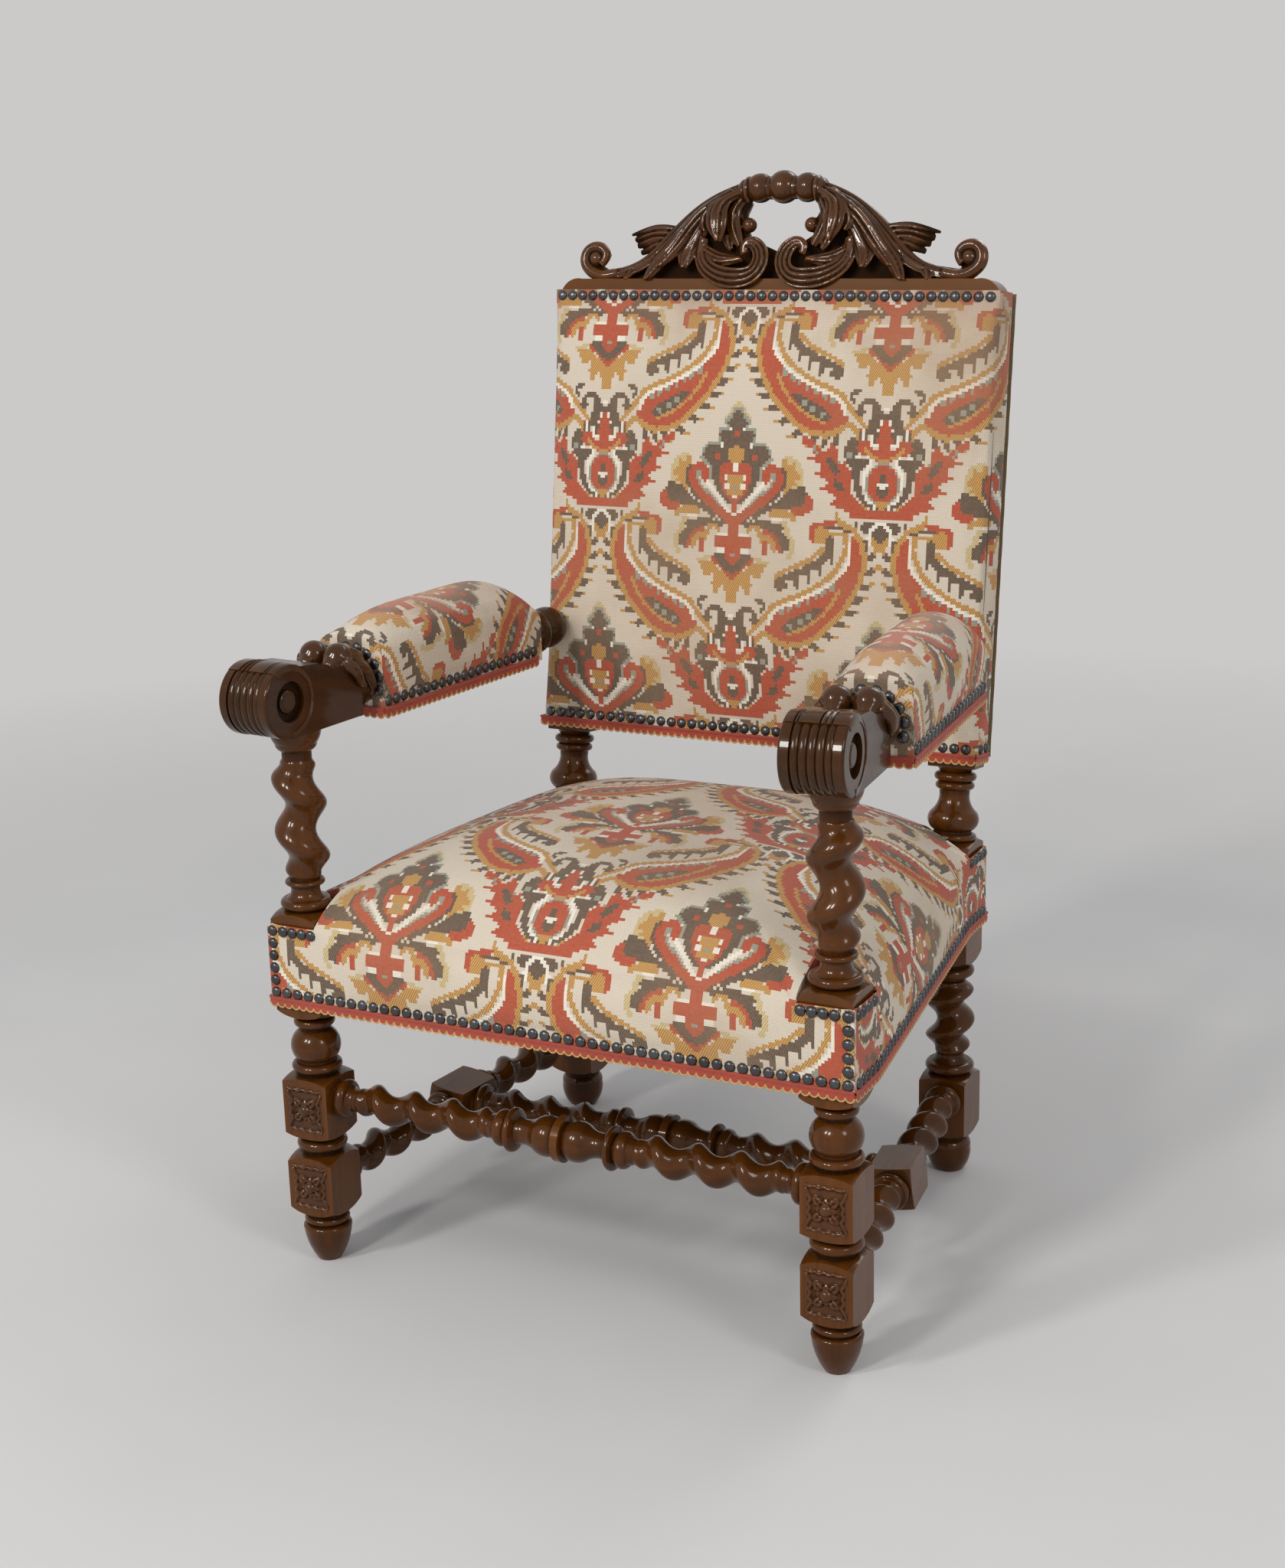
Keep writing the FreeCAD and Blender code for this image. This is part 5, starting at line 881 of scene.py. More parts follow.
def fill_out(piece, nails, pressure, cap):
    """Lets a cover swell between its nails, by less than a cap in mm."""
    edited(piece, bpy.ops.mesh.remove_doubles, threshold=NEARLY_TOUCHING * MM)
    mesh = piece.data
    held = nailed(piece, nails)
    limit = cap * MM
    start, moved = np.zeros(len(mesh.vertices) * 3), np.zeros(len(mesh.vertices) * 3)
    mesh.vertices.foreach_get("co", start)
    pins = piece.vertex_groups.new(name="held")
    pins.add(held, 1.0, "REPLACE")
    cloth = piece.modifiers.new("cloth", "CLOTH")
    cloth.settings.vertex_group_mass = "held"
    cloth.settings.quality = 3
    cloth.settings.use_pressure = True
    cloth.settings.uniform_pressure_force = pressure
    cloth.settings.effector_weights.gravity = 0
    cloth.collision_settings.use_collision = False
    for step in range(1, LAST_FRAME + 1):
        bpy.context.scene.frame_set(step)
    bpy.ops.object.modifier_apply(modifier="cloth")
    bpy.context.scene.frame_set(1)
    mesh.vertices.foreach_get("co", moved)
    shift = (moved - start).reshape(-1, 3)
    length = np.linalg.norm(shift, axis=1, keepdims=True)
    shift *= np.tanh(length / limit) * limit / np.maximum(length, 1e-9)
    mesh.vertices.foreach_set("co", start + shift.ravel())
    print(piece.name, "moved by the cloth step by up to mm:", round(float(length.max()) / MM, 1))
    smoothed(piece, 50)
    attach(piece, "root")


# %% [markdown]
# ## Tapestry
# Each square already carries its thread as a number. The material turns the number into two yarns, a main
# one and one that shows between its stitches. It then adds what lies within a square: slanted stitches
# on gold and taupe, fine cross ribs on red, a plain weave on the cream ground, and years of use, which
# faded and soiled the cloth in patches. It reads the flat place of the cloth, its UV map in metres, so
# stitches follow every bend.

# %% Tapestry finish
YARNS = [(0.0, (215, 202, 183), (184, 169, 145)), (0.05, (182, 72, 42), (134, 48, 30)),
         (0.15, (214, 161, 82), (138, 92, 46)), (0.25, (72, 56, 47), (114, 92, 72)),
         (0.35, (134, 138, 124), (172, 166, 142)), (0.45, (238, 230, 214), (206, 194, 170)),
         (0.55, (216, 196, 146), (168, 140, 92))]
SLANTED = [(0.0, (0, 0, 0, 1)), (0.15, (1, 1, 1, 1)), (0.35, (0, 0, 0, 1)), (0.55, (1, 1, 1, 1))]
STITCH_PITCH, RIB_PITCH, WARP_PITCH = 0.0046, 0.0022, 0.0020
LOOSE_FIBRE, SOIL = srgb(214, 196, 168), srgb(164, 134, 102)


def tapestry(name, soiled_above, sharpness, stain):
    """The cloth's look. Above some height it is worn, and takes on the stain's tone."""
    cloth = Finish(name, Roughness=0.85, Sheen_Weight=0.15, Sheen_Roughness=0.5,
                   Specular_IOR_Level=0.2)
    number = cloth.node("ShaderNodeAttribute", {"attribute_name": "thread"}, output=2)
    flat = cloth.node("ShaderNodeUVMap")
    u, v, _ = cloth.parts(flat)
    height = cloth.parts(cloth.place())[2]
    soil = cloth.noise(cloth.place(), 7, 4)
    streak = cloth.noise(flat, 260, 2)
    slant = (u * 1.75 - v).wave(STITCH_PITCH)
    plain = u.wave(WARP_PITCH) * 0.5 + v.wave(RIB_PITCH) * 0.5
    first, second = (cloth.steps(number, [(yarn[0], srgb(*yarn[pick])) for yarn in YARNS])
                     for pick in (1, 2))
    slanted = cloth.steps(number, SLANTED)
    stitch = slanted * slant + (1 - slanted) * plain
    colour = cloth.blend((1 - stitch) * (slanted * 0.45 + 0.4), first, second)
    colour = cloth.blend(streak * 0.16, colour, LOOSE_FIBRE)
    colour = cloth.blend(cloth.patchy(soil, 0.46, 2.6) * 0.48, colour, SOIL)
    worn = ((height - soiled_above) * sharpness + (soil - 0.5) * 1.6).held()
    colour = cloth.blend(worn * 0.5, colour, stain)
    return cloth.finish(Base_Color=colour, Normal=cloth.bump(stitch + streak * 0.4, 0.5, 0.0008))


tapestry_cloth = tapestry("tapestry", 0.94, 14, srgb(150, 108, 80))
pad_cloth = tapestry("pad_tapestry", 0.674, 40, srgb(196, 150, 124))
print("Yarns in the cloth:", 2 * len(YARNS))

# %% [markdown]
# ## The seat's cover
# The cloth comes up over the front edge, across the domed top and down to the nails on the sides and rear.
# It is cut round the four posts and turned down there. Its foot and edges keep the solid seat's sizes,
# and its crown is fuller, as the photograph shows it.

# %% Seat cover
FRONT_Y, DEPTH, HALF_POST, LEAN = -264.203, 486.0, 27.5, math.radians(7.5)
BACK_Y = FRONT_Y + DEPTH
SKIN = 2.9
FRONT_HALF, REAR_HALF = 326.0, 270.5
SEAT_ENDS = (FRONT_Y - HALF_POST - SKIN, BACK_Y + HALF_POST + SKIN)
POST_TOP, POST_GAP = 389, 0.6


def seat_sizes(y):
    """Half width, edge, crown and shoulder of the seat at a depth, and how full its arch is."""
    share = clamped((y - FRONT_Y - HALF_POST) / (DEPTH - 2 * HALF_POST))
    half = FRONT_HALF + (REAR_HALF - FRONT_HALF) * share + SKIN
    rise = swell((y - SEAT_ENDS[0]) / (SEAT_ENDS[1] - SEAT_ENDS[0]), 3.6)
    clear = clamped(min(y - FRONT_Y - HALF_POST, BACK_Y - HALF_POST - y) / 26)
    shoulder = 3 + 23 * clear
    return half, 362 + 26 * (1 + 0.3 * rise) - shoulder, 392 + 71 * rise, shoulder, 4.4


def turned_down(piece, height):
    """Turns the cloth down to a height along each open edge that stands above it."""
    sheet = bmesh.new()
    sheet.from_mesh(piece.data)
    high = [edge for edge in sheet.edges
            if edge.is_boundary and max(vert.co.z for vert in edge.verts) > (height + 0.4) * MM]
    made = bmesh.ops.extrude_edge_only(sheet, edges=high)
    for item in made["geom"]:
        if isinstance(item, bmesh.types.BMVert):
            item.co.z = height * MM
    sheet.to_mesh(piece.data)
    sheet.free()
    print(piece.name, "edges turned down:", len(high))


seat = cover("seat_tapestry", seat_sizes, SEAT_ENDS, 299, lambda x, y, z: (x, y, z), (183, 351))
open_corners(seat, (FRONT_Y + HALF_POST + POST_GAP, 270.4),
             (BACK_Y - HALF_POST - POST_GAP, 214.9), POST_TOP)
turned_down(seat, POST_TOP)
dye(seat, tapestry_cloth)
fill_out(seat, "seat_nails", 34.0, 6)
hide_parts("seat_cover", "seat_stuffing")

# %% [markdown]
# ## The back's cover
# The back is one panel that wraps round both sides. It leans with the stiles, so it is laid out in the
# leaning plane and turned into place.

# %% Back cover
PANEL_FOOT, PANEL_HEAD = 114, 586


def back_sizes(up):
    """Half width, edge, crown and shoulder of the back at a height along its lean."""
    rise = swell(clamped((up - PANEL_FOOT) / (PANEL_HEAD - PANEL_FOOT)), 3.2)
    return REAR_HALF + SKIN, 17.7 + 3.6 * rise, 26.7 + 24 * rise, 9


def leaning(x, up, height):
    """A place on the leaning back: across, up the back, and forward from the middle of the stiles."""
    return (x, BACK_Y - height * math.cos(LEAN) + up * math.sin(LEAN),
            400 + up * math.cos(LEAN) + height * math.sin(LEAN))


back = cover("back_tapestry", back_sizes, (94.0, 606.0), -15, leaning, (18, 94), (False, False))
dye(back, tapestry_cloth)
fill_out(back, "back_nails", 34.0, 4)
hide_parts("back_cover", "back_stuffing")

# %% [markdown]
# ## The arm pads' covers
# Each pad is a short cushion on the arm's rail. Its front is flat round the bell of the arm, and its
# rear falls away to a neck. The left one is the right one, mirrored.

# %% Arm covers
ARM_FRONT, ARM_REAR, ARM_LENGTH, ARM_SHIFT = 298.5, 257.0, 470.0, 4
ARM_SLOPE = math.atan2(ARM_FRONT - ARM_REAR, ARM_LENGTH)
PAD_ENDS = (101.0, ARM_LENGTH / math.cos(ARM_SLOPE) - 74.8)
BELL_HEIGHT, BELL_RADIUS, NECK_HEIGHT, NECK_RADIUS = 626, 26.5, 615, 17.5


def pad_sizes(along):
    """Half width, edge, crown and shoulder of a pad at a length along the arm."""
    share = (along - PAD_ENDS[0]) / (PAD_ENDS[1] - PAD_ENDS[0])
    fall = max(0, (share - 0.68) / 0.32)
    rise = swell(0.5 * min(1, share * 2.6), 3) if share < 0.5 else 1 - fall ** 2.2
    drop = 21 * fall ** 2.4
    return 42.0, 656 + 12 * min(1, share * 4) - drop * 1.5, 672 + 23 * rise - drop * 0.6, 16


def arm_place(side):
    """Turns a place on an arm, given across from the pad's middle, along the arm and up, into its own."""
    def place(x, along, z):
        x = ARM_SHIFT + x * side
        turned = (x * math.cos(ARM_SLOPE) - along * math.sin(ARM_SLOPE),
                  x * math.sin(ARM_SLOPE) + along * math.cos(ARM_SLOPE))
        return side * (ARM_FRONT + turned[0]), FRONT_Y + turned[1], z
    return place


for side, word in SIDES:
    place = arm_place(side)
    pad = cover(f"arm_tapestry_{word}", pad_sizes, PAD_ENDS, 592, place, (0, 241))
    bell = Vector(place(-ARM_SHIFT * side, PAD_ENDS[0], BELL_HEIGHT))
    neck = Vector(place(-ARM_SHIFT * side, PAD_ENDS[1], NECK_HEIGHT))
    cut_away(pad, lambda spot: (spot - bell).length < BELL_RADIUS or (spot - neck).length < NECK_RADIUS)
    dye(pad, pad_cloth)
    fill_out(pad, f"arm_nails_{word}", 24.0, 3)
    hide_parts(f"arm_cover_{word}", f"arm_pad_{word}")

# %% [markdown]
# ## The crest's carving
# A carver saws the crest from a board, roughs out the leaves and then cuts flutes along them, so every
# form follows a few long lines. The lines are what is drawn here: each leaf has two edges from its root to
# its tip, soft rods fill the space between them, thinner rods stand between those as ridges, and all
# rods of one side are mirrored. A voxel remesh then melts rods, balls and board into one skin, as if cut
# from one piece of wood. Places are in mm across, up the leaning back, and forward.

# %% Rods
def rods(name, runs):
    """Round rods along smooth lines. Each point is across, up, forward and the rod's radius there."""
    line = bpy.data.curves.new(name, "CURVE")
    line.dimensions = "3D"
    line.bevel_depth, line.bevel_resolution, line.resolution_u = MM, 2, 5
    line.use_fill_caps = True
    for run in runs:
        spline = line.splines.new("NURBS")
        spline.points.add(len(run) - 1)
        for point, (x, up, forward, radius) in zip(spline.points, run):
            point.co = (x * MM, -forward * MM, up * MM, 1)
            point.radius = radius
        spline.order_u, spline.use_endpoint_u = 3, True
    only(linked(name, line))
    bpy.ops.object.convert(target="MESH")
    return bpy.context.object


def fluted(one, other, count, lift=3.0, fat=0.62, ridge=1.7):
    """Rods that fill the leaf between two edges, with a thin ridge on each edge and between rods."""
    one, other = np.array(one, float), np.array(other, float)
    widths = np.linalg.norm(other - one, axis=1) / count
    runs = []
    for index in range(count):
        share = (index + 0.5) / count
        run = one + (other - one) * share
        run[:, 2] += lift * math.sin(math.pi * share) - widths * 0.42
        runs.append([(*place, max(width * fat, 1.2)) for place, width in zip(run, widths)])
    for index in range(count + 1):
        share = index / count
        run = one + (other - one) * share
        run[:, 2] += lift * math.sin(math.pi * share) + ridge * 0.5
        thin = np.linspace(ridge * 1.1, ridge * 0.75, len(run))
        runs.append([(*place, width) for place, width in zip(run, thin)])
    return runs


def ribbon(spine, count, ridge):
    """A fluted band along a spine, whose points give across, up, forward and half width."""
    spine = np.array(spine, float)
    along = np.gradient(spine[:, :2], axis=0)
    along /= np.linalg.norm(along, axis=1, keepdims=True)
    out = np.stack([along[:, 1], -along[:, 0]], axis=1)
    edges = []
    for side in (-1, 1):
        edge = spine[:, :3].copy()
        edge[:, :2] += out * spine[:, 3:] * side * 0.8
        edges.append(edge)
    return fluted(*edges, count, lift=2.0, ridge=ridge)


# %% The lines of the right half
# A leaf is its two edges, how many rods fill it, how far it bulges, how fat its rods are and its ridges.
# After the leaves come long narrow leaf tips, the large scroll, the fan inside it, and the volute at the
# crest's end with the ground behind it.
CREST_LEAVES = [
    ([(48, 727, 4), (72, 719, 5), (97, 706, 5), (118, 690, 4), (138, 671, 4), (158, 648, 6),
      (182, 633, 7), (204, 629, 6)],
     [(50, 716, 9), (72, 709, 12), (95, 695, 12), (114, 676, 12), (132, 655, 11), (154, 635, 12),
      (180, 622, 12), (206, 619, 9)], 2, 2, 0.66),
    ([(56, 717, 9), (80, 703, 13), (102, 682, 14), (118, 658, 13), (134, 636, 15), (152, 616, 20)],
     [(62, 719, 9), (92, 702, 13), (116, 680, 13), (136, 654, 12), (156, 634, 14), (160, 615, 20)], 3, 4),
    ([(170, 632, 9), (178, 624, 12), (184, 617, 16)],
     [(188, 630, 8), (190, 622, 11), (187, 616, 15)], 2, 2),
    ([(54, 715, 9), (75, 700, 14), (94, 680, 15), (108, 660, 14), (122, 644, 14), (138, 631, 18)],
     [(58, 717, 9), (84, 702, 14), (106, 680, 15), (122, 660, 14), (136, 644, 15), (143, 631, 18)], 2, 3),
    ([(52, 712, 9), (70, 699, 12), (82, 682, 13), (90, 664, 12), (98, 644, 14), (107, 629, 19)],
     [(56, 716, 9), (80, 700, 14), (100, 676, 14), (114, 656, 13), (122, 642, 14), (112, 629, 19)], 3, 4),
    ([(46, 713, 8), (58, 708, 14), (62, 696, 19), (60, 682, 21), (61, 670, 21), (66, 658, 20)],
     [(52, 719, 9), (72, 709, 15), (82, 696, 20), (84, 682, 22), (80, 670, 22), (70, 659, 20)], 3, 5,
      0.66, 2.0),
    ([(60, 712, 10), (74, 706, 15), (83, 694, 18), (86, 684, 18), (86, 676, 18), (84, 670, 19)],
     [(66, 714, 9), (84, 702, 14), (92, 690, 16), (94, 682, 17), (92, 676, 18), (87, 670, 19)], 2, 3),
    ([(44, 708, 4), (50, 700, 6), (51, 688, 7), (48, 676, 8), (44, 666, 9), (43, 656, 9)],
     [(52, 708, 8), (60, 698, 10), (63, 684, 10), (60, 670, 10), (54, 660, 10), (47, 654, 9)], 2, 3),
    ([(58, 668, 8), (56, 660, 9), (54, 652, 10)],
     [(68, 668, 9), (66, 658, 10), (57, 650, 10)], 2, 2),
]
FEATHERS = [
    [(124, 675, 1, 4.5), (145, 679, 3, 4.4), (166, 677, 2, 4.2), (190, 671, -2, 1.8)],
    [(124, 668, 1, 5), (146, 672, 3, 5), (166, 670, 2, 4.8), (184, 665, -2, 3.6)],
    [(124, 661, 1, 5), (144, 664, 3, 5), (162, 662, 2, 4.8), (180, 658, -1, 3.6)],
    [(126, 654, 1, 4.6), (142, 657, 3, 4.6), (158, 655, 2, 4.6), (175, 650, -1, 3.2)],
    [(130, 676, 7, 1.3), (150, 678, 8, 1.5), (172, 674, 5, 1.2), (186, 671, 1, 0.8)],
    [(130, 671, 7, 1.3), (150, 673, 8, 1.5), (170, 669, 6, 1.2), (180, 665, 3, 0.8)],
    [(130, 664, 7, 1.3), (150, 667, 8, 1.5), (168, 663, 6, 1.2), (178, 659, 3, 0.8)],
    [(130, 657, 7, 1.3), (146, 660, 8, 1.5), (160, 657, 6, 1.2), (170, 652, 3, 0.8)],
]
crest_lines = [run for leaf in CREST_LEAVES for run in fluted(*leaf)] + FEATHERS
crest_lines += ribbon([(90, 664, 12, 5), (93, 648, 13, 8), (85, 631, 17, 10), (67, 620, 21, 12),
    (48, 616, 23, 13), (30, 617, 23, 12), (18, 624, 22, 11), (13, 637, 20, 11), (16, 650, 18, 10),
    (25, 658, 17, 8), (33, 658, 17, 6), (38, 652, 17, 5), (35, 645, 17, 4)], 3, 2.0)
crest_lines += fluted([(88, 656, 12), (74, 648, 13), (58, 644, 13), (42, 642, 14)], [(86, 640, 12),
    (72, 632, 15), (58, 632, 16), (38, 638, 14)], 3, 3)
crest_lines += [
    [(200, 625, 7, 6.8), (214, 621, 8, 7), (230, 624, 8, 7.4), (243, 634, 8, 7.6), (243, 649, 8, 7.4),
     (232, 657, 8, 7), (219, 653, 8, 6.4), (215, 643, 8, 5.6), (222, 635, 9, 5)],
    [(216, 622, 0, 9), (232, 628, 0, 9), (238, 642, 0, 9), (230, 650, 0, 9), (220, 643, 0, 9)],
    [(44, 684, 0, 4), (50, 690, 1, 5), (54, 698, 1, 6)],
]
print("Rods in one half of the crest:", len(crest_lines))

# %% Where a carving is hollow
SMOOTHING_ROUNDS, CUT_SLACK, RIDGE_SLACK = 9, 0.15, 0.25
GROUND_FADE, GROUND_REAR, GROUND_HALF = 3, -8, 208


def cuts(mesh, deep, ground=None):
    """Marks hollows and ridges as a colour: red where a point lies under the smoothed form, green over.

    Points of the board that lie behind the ground's depth count as sunk too.
    """
    count = len(mesh.vertices)
    spots, outs = np.zeros(count * 3), np.zeros(count * 3)
    mesh.vertices.foreach_get("co", spots)
    mesh.vertices.foreach_get("normal", outs)
    spots, outs = spots.reshape(-1, 3) / MM, outs.reshape(-1, 3)
    edges = np.zeros(len(mesh.edges) * 2, int)
    mesh.edges.foreach_get("vertices", edges)
    one, other = edges.reshape(-1, 2).T
    ends, near = np.concatenate([one, other]), np.concatenate([other, one])
    links = np.maximum(np.bincount(ends, minlength=count), 1)[:, None]
    smooth = spots.copy()
    for _ in range(SMOOTHING_ROUNDS):
        sums = [np.bincount(ends, smooth[near, axis], count) for axis in range(3)]
        smooth = np.stack(sums, axis=1) / links
    depth = ((smooth - spots) * outs).sum(axis=1)
    # sunk becomes painted shade in the oak's cuts, and proud a painted highlight on its ridges
    sunk = np.clip(depth * deep - CUT_SLACK, 0, 1)
    proud = np.clip(-depth * deep * 0.5 - RIDGE_SLACK, 0, 1)
    # the recessed board behind the leaves counts as sunk, so it takes painted shade too
    if ground is not None:
        flat = (-spots[:, 1] > GROUND_REAR) & (np.abs(spots[:, 0]) < GROUND_HALF)
        sunk = np.maximum(sunk, np.where(flat, np.clip((ground + spots[:, 1]) / GROUND_FADE, 0, 1), 0))
    shades = np.stack([sunk, proud, sunk * 0, sunk * 0 + 1], axis=1)
    mesh.color_attributes.new("cut", "FLOAT_COLOR", "POINT").data.foreach_set("color", shades.ravel())
    return int((sunk > 0.5).sum())


# %% Rods, board and balls become one piece
def board(name, outline, front, rear):
    """A board with an outline across and up, between two depths."""
    shape = bmesh.new()
    face = shape.faces.new([shape.verts.new((x * MM, -front * MM, up * MM)) for x, up in outline])
    deep = bmesh.ops.extrude_face_region(shape, geom=[face])
    moved = [item for item in deep["geom"] if isinstance(item, bmesh.types.BMVert)]
    bmesh.ops.translate(shape, verts=moved, vec=(0, (front - rear) * MM, 0))
    bmesh.ops.recalc_face_normals(shape, faces=shape.faces)
    mesh = bpy.data.meshes.new(name)
    shape.to_mesh(mesh)
    shape.free()
    return linked(name, mesh)


def ball(x, up, forward, radius, flat=1.0):
    bpy.ops.object.select_all(action="DESELECT")
    bpy.ops.mesh.primitive_uv_sphere_add(segments=32, ring_count=20, radius=radius * MM,
                                         location=(x * MM, -forward * MM, up * MM), scale=(flat, 1, 1))
    return bpy.context.object


BOARD = [(0, 619), (204, 619), (222, 630), (190, 634), (166, 642), (150, 656), (160, 664), (148, 672),
    (134, 672), (112, 688), (92, 704), (66, 715), (46, 718), (42, 706), (47, 694), (45, 680), (40, 668),
    (30, 662), (12, 655), (0, 650)]
CREST_FOOT, CREST_TURN = 619, math.radians(6)
crest = joined("carved_crest", [
    rods("crest_rods", crest_lines), board("crest_board", BOARD, 3, -13), ball(38.5, 680, 3, 8.5),
    ball(229, 642, 8, 8.6), ball(29, 722, 2, 16.5), ball(47, 719, 2, 13.5, 0.6),
    ball(42.5, 720, 2, 15.5, 0.28), ball(0, 723, 2, 18.5), ball(14, 722, 2, 13)])
applied(crest, ("MIRROR", {"use_axis": (True, False, False)}),
        ("REMESH", {"mode": "VOXEL", "voxel_size": 1.15 * MM}), ("DECIMATE", {"ratio": 0.68}),
        ("SMOOTH", {"factor": 0.4, "iterations": 1}))
marked = cuts(crest.data, 2.2, 6.5)
for vert in crest.data.vertices:
    x, forward, up = vert.co.x / MM, -vert.co.y / MM, vert.co.z / MM
    tall = CREST_FOOT + (up - CREST_FOOT) * math.cos(CREST_TURN) + forward * math.sin(CREST_TURN)
    ahead = forward * math.cos(CREST_TURN) - (up - CREST_FOOT) * math.sin(CREST_TURN)
    vert.co = Vector(leaning(x, tall, ahead)) * MM
bpy.ops.object.shade_smooth()
crest.data.materials.append(carved_oak)
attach(crest, "root")
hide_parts("crest", "crest_dowels")
print("Faces of the carved crest:", len(crest.data.polygons), "points in hollows:", marked)

# %% [markdown]
# ## Braid
# A woven trimming hides the raw edge of the cloth under the nails: a red cord above, a red band, and
# a row of small scallops edged with gold thread. One scallop is modelled and set side by side along each
# run. Its parts carry both finishes, and each part uses one of them.

# %% Thread
def thread_finish(name, colour, shadow):
    """Twisted thread: fine slanted ridges, with dark between them."""
    thread = Finish(name, Roughness=0.8, Sheen_Weight=0.2)
    x, y, z = thread.parts(thread.place())
    twist = (x + y + z * 1.3).wave(0.0021)
    wear = thread.noise(thread.place(), 45, 3)
    tone = thread.blend((1 - twist) * 0.5, colour, shadow)
    tone = thread.blend(thread.patchy(wear, 0.45, 2) * 0.5, tone, shadow)
    return thread.finish(Base_Color=tone, Normal=thread.bump(twist, 0.6, 0.0005))


braid_threads = [thread_finish("red_thread_twisted", srgb(184, 70, 46), srgb(104, 40, 26)),
                 thread_finish("gold_thread_twisted", srgb(222, 178, 102), srgb(134, 92, 44))]
print("Threads of the braid:", [thread.name for thread in braid_threads])

# %% One scallop
SCALLOP, BAND_RADIUS, BAND_DEPTH, FILL_HEIGHT = 9.0, 4.5, 0.6, 1.8
FLAT_ON = (math.pi / 2, 0, 0)


def added(kind, finish, **facts):
    """A new primitive on its own, in one of the braid's finishes."""
    bpy.ops.object.select_all(action="DESELECT")
    getattr(bpy.ops.mesh, f"primitive_{kind}_add")(**facts)
    bpy.ops.object.transform_apply(location=True, rotation=True, scale=True)
    piece = bpy.context.object
    for thread in braid_threads:
        piece.data.materials.append(thread)
    piece.data.polygons.foreach_set("material_index", [finish] * len(piece.data.polygons))
    return piece


cord = added("cylinder", 0, vertices=7, radius=1.9 * MM, depth=SCALLOP * MM,
             location=(0, 1.2 * MM, 4.2 * MM), rotation=(0, math.pi / 2, 0))
band = added("cylinder", 0, vertices=14, radius=BAND_RADIUS * MM, depth=2.4 * MM,
             location=(0, BAND_DEPTH * MM, -0.6 * MM), rotation=FLAT_ON, scale=(1, 1.05, 1))
rope = added("torus", 1, major_radius=BAND_RADIUS * MM, minor_radius=0.95 * MM, major_segments=14,
             minor_segments=5, location=(0, 1.3 * MM, -0.9 * MM), rotation=FLAT_ON)
edited(rope, bpy.ops.mesh.bisect, plane_co=(0, 0, -0.6 * MM), plane_no=(0, 0, 1), clear_outer=True)
fill = added("cylinder", 0, vertices=4, radius=SCALLOP / math.sqrt(2) * MM, depth=2.0 * MM,
             location=(0, BAND_DEPTH * MM, FILL_HEIGHT * MM), rotation=(math.pi / 2, math.pi / 4, 0))
for vert in fill.data.vertices:
    vert.co.z = FILL_HEIGHT * MM + (vert.co.z - FILL_HEIGHT * MM) * 0.5
scallop = joined("scallop", [cord, band, fill, rope])
print("Faces of a scallop:", len(scallop.data.polygons))

# %% Braid on the seat, the back and the arms
def trim(name, corners, up, replaced):
    """Scallops along straight runs from corner to corner, counterclockwise, with the way up given."""
    frames = []
    up = Vector(up).normalized()
    for start, end in zip(corners, corners[1:]):
        start, end = Vector(start) * MM, Vector(end) * MM
        count = max(1, round((end - start).length / (SCALLOP * MM)))
        step = (end - start) / count
        out = step.cross(up).normalized()
        frames += [standing(start + step * (index + 0.5), out, -step, step.length / (SCALLOP * MM))
                   for index in range(count)]
    repeated(name, scallop, frames, braid_threads, replaced)


UPRIGHT, UP_BACK = (0, 0, 1), (0, math.sin(LEAN), math.cos(LEAN))
FOOT, PAD_FOOT, BACK_FOOT = 303.6, 592.6, 95.4
right_side = [(329.4, -295.0, FOOT), (329.4, -236.7, FOOT), (273.9, 194.3, FOOT), (273.9, 252.6, FOOT)]
around = right_side + [(-x, y, z) for x, y, z in reversed(right_side)]
trim("seat_braid_scallops", [*around, around[0]], UPRIGHT, "seat_braid")
trim("back_braid_scallops", [leaning(x, BACK_FOOT, forward) for x, forward in
                             ((-273.6, -15.2), (-273.6, 27.2), (273.6, 27.2), (273.6, -15.2))],
     UP_BACK, "back_braid")
for side, word in SIDES:
    place = arm_place(side)
    corners = [place(x * side, along, PAD_FOOT) for x, along in
               ((-42.4, 387.0), (-42.4, 100.4), (42.4, 100.4), (42.4, 387.0))]
    trim(f"arm_braid_scallops_{word}", corners[::side], UPRIGHT, f"arm_braid_{word}")
bpy.data.objects.remove(scallop, do_unlink=True)

# %% [markdown]
# ## Webbing, springs and plain cloth
# Under the covers lie jute straps, steel springs and a canvas. A plain cloth closes the rear of the back,
# and another closes the foot of the seat. Both are new sheets, drawn in a little at each tack. All other
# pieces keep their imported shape, and each gets its weave or its metal.

# %% Woven cloths and steel
def woven(name, one, other, pitch, axes_used=(0, 1)):
    """A plain weave of two yarns, read along two of the piece's axes."""
    cloth = Finish(name, Roughness=0.9, Specular_IOR_Level=0.15)
    axes = cloth.parts(cloth.place())
    over, under = ((axes[index] * (math.pi / pitch)).sine() for index in axes_used)
    weave = over * under * 0.5 + 0.5
    dirt = cloth.noise(cloth.place(), 6, 4)
    slub = cloth.noise(cloth.place((1, 1, 8)), 60, 2)
    tone = cloth.blend(weave * 0.6 + slub * 0.3, one, other)
    tone = cloth.blend(cloth.patchy(dirt, 0.45, 2) * 0.4, tone, srgb(96, 78, 58))
    return cloth.finish(Base_Color=tone, Normal=cloth.bump(weave + slub * 0.5, 0.5, 0.0005))


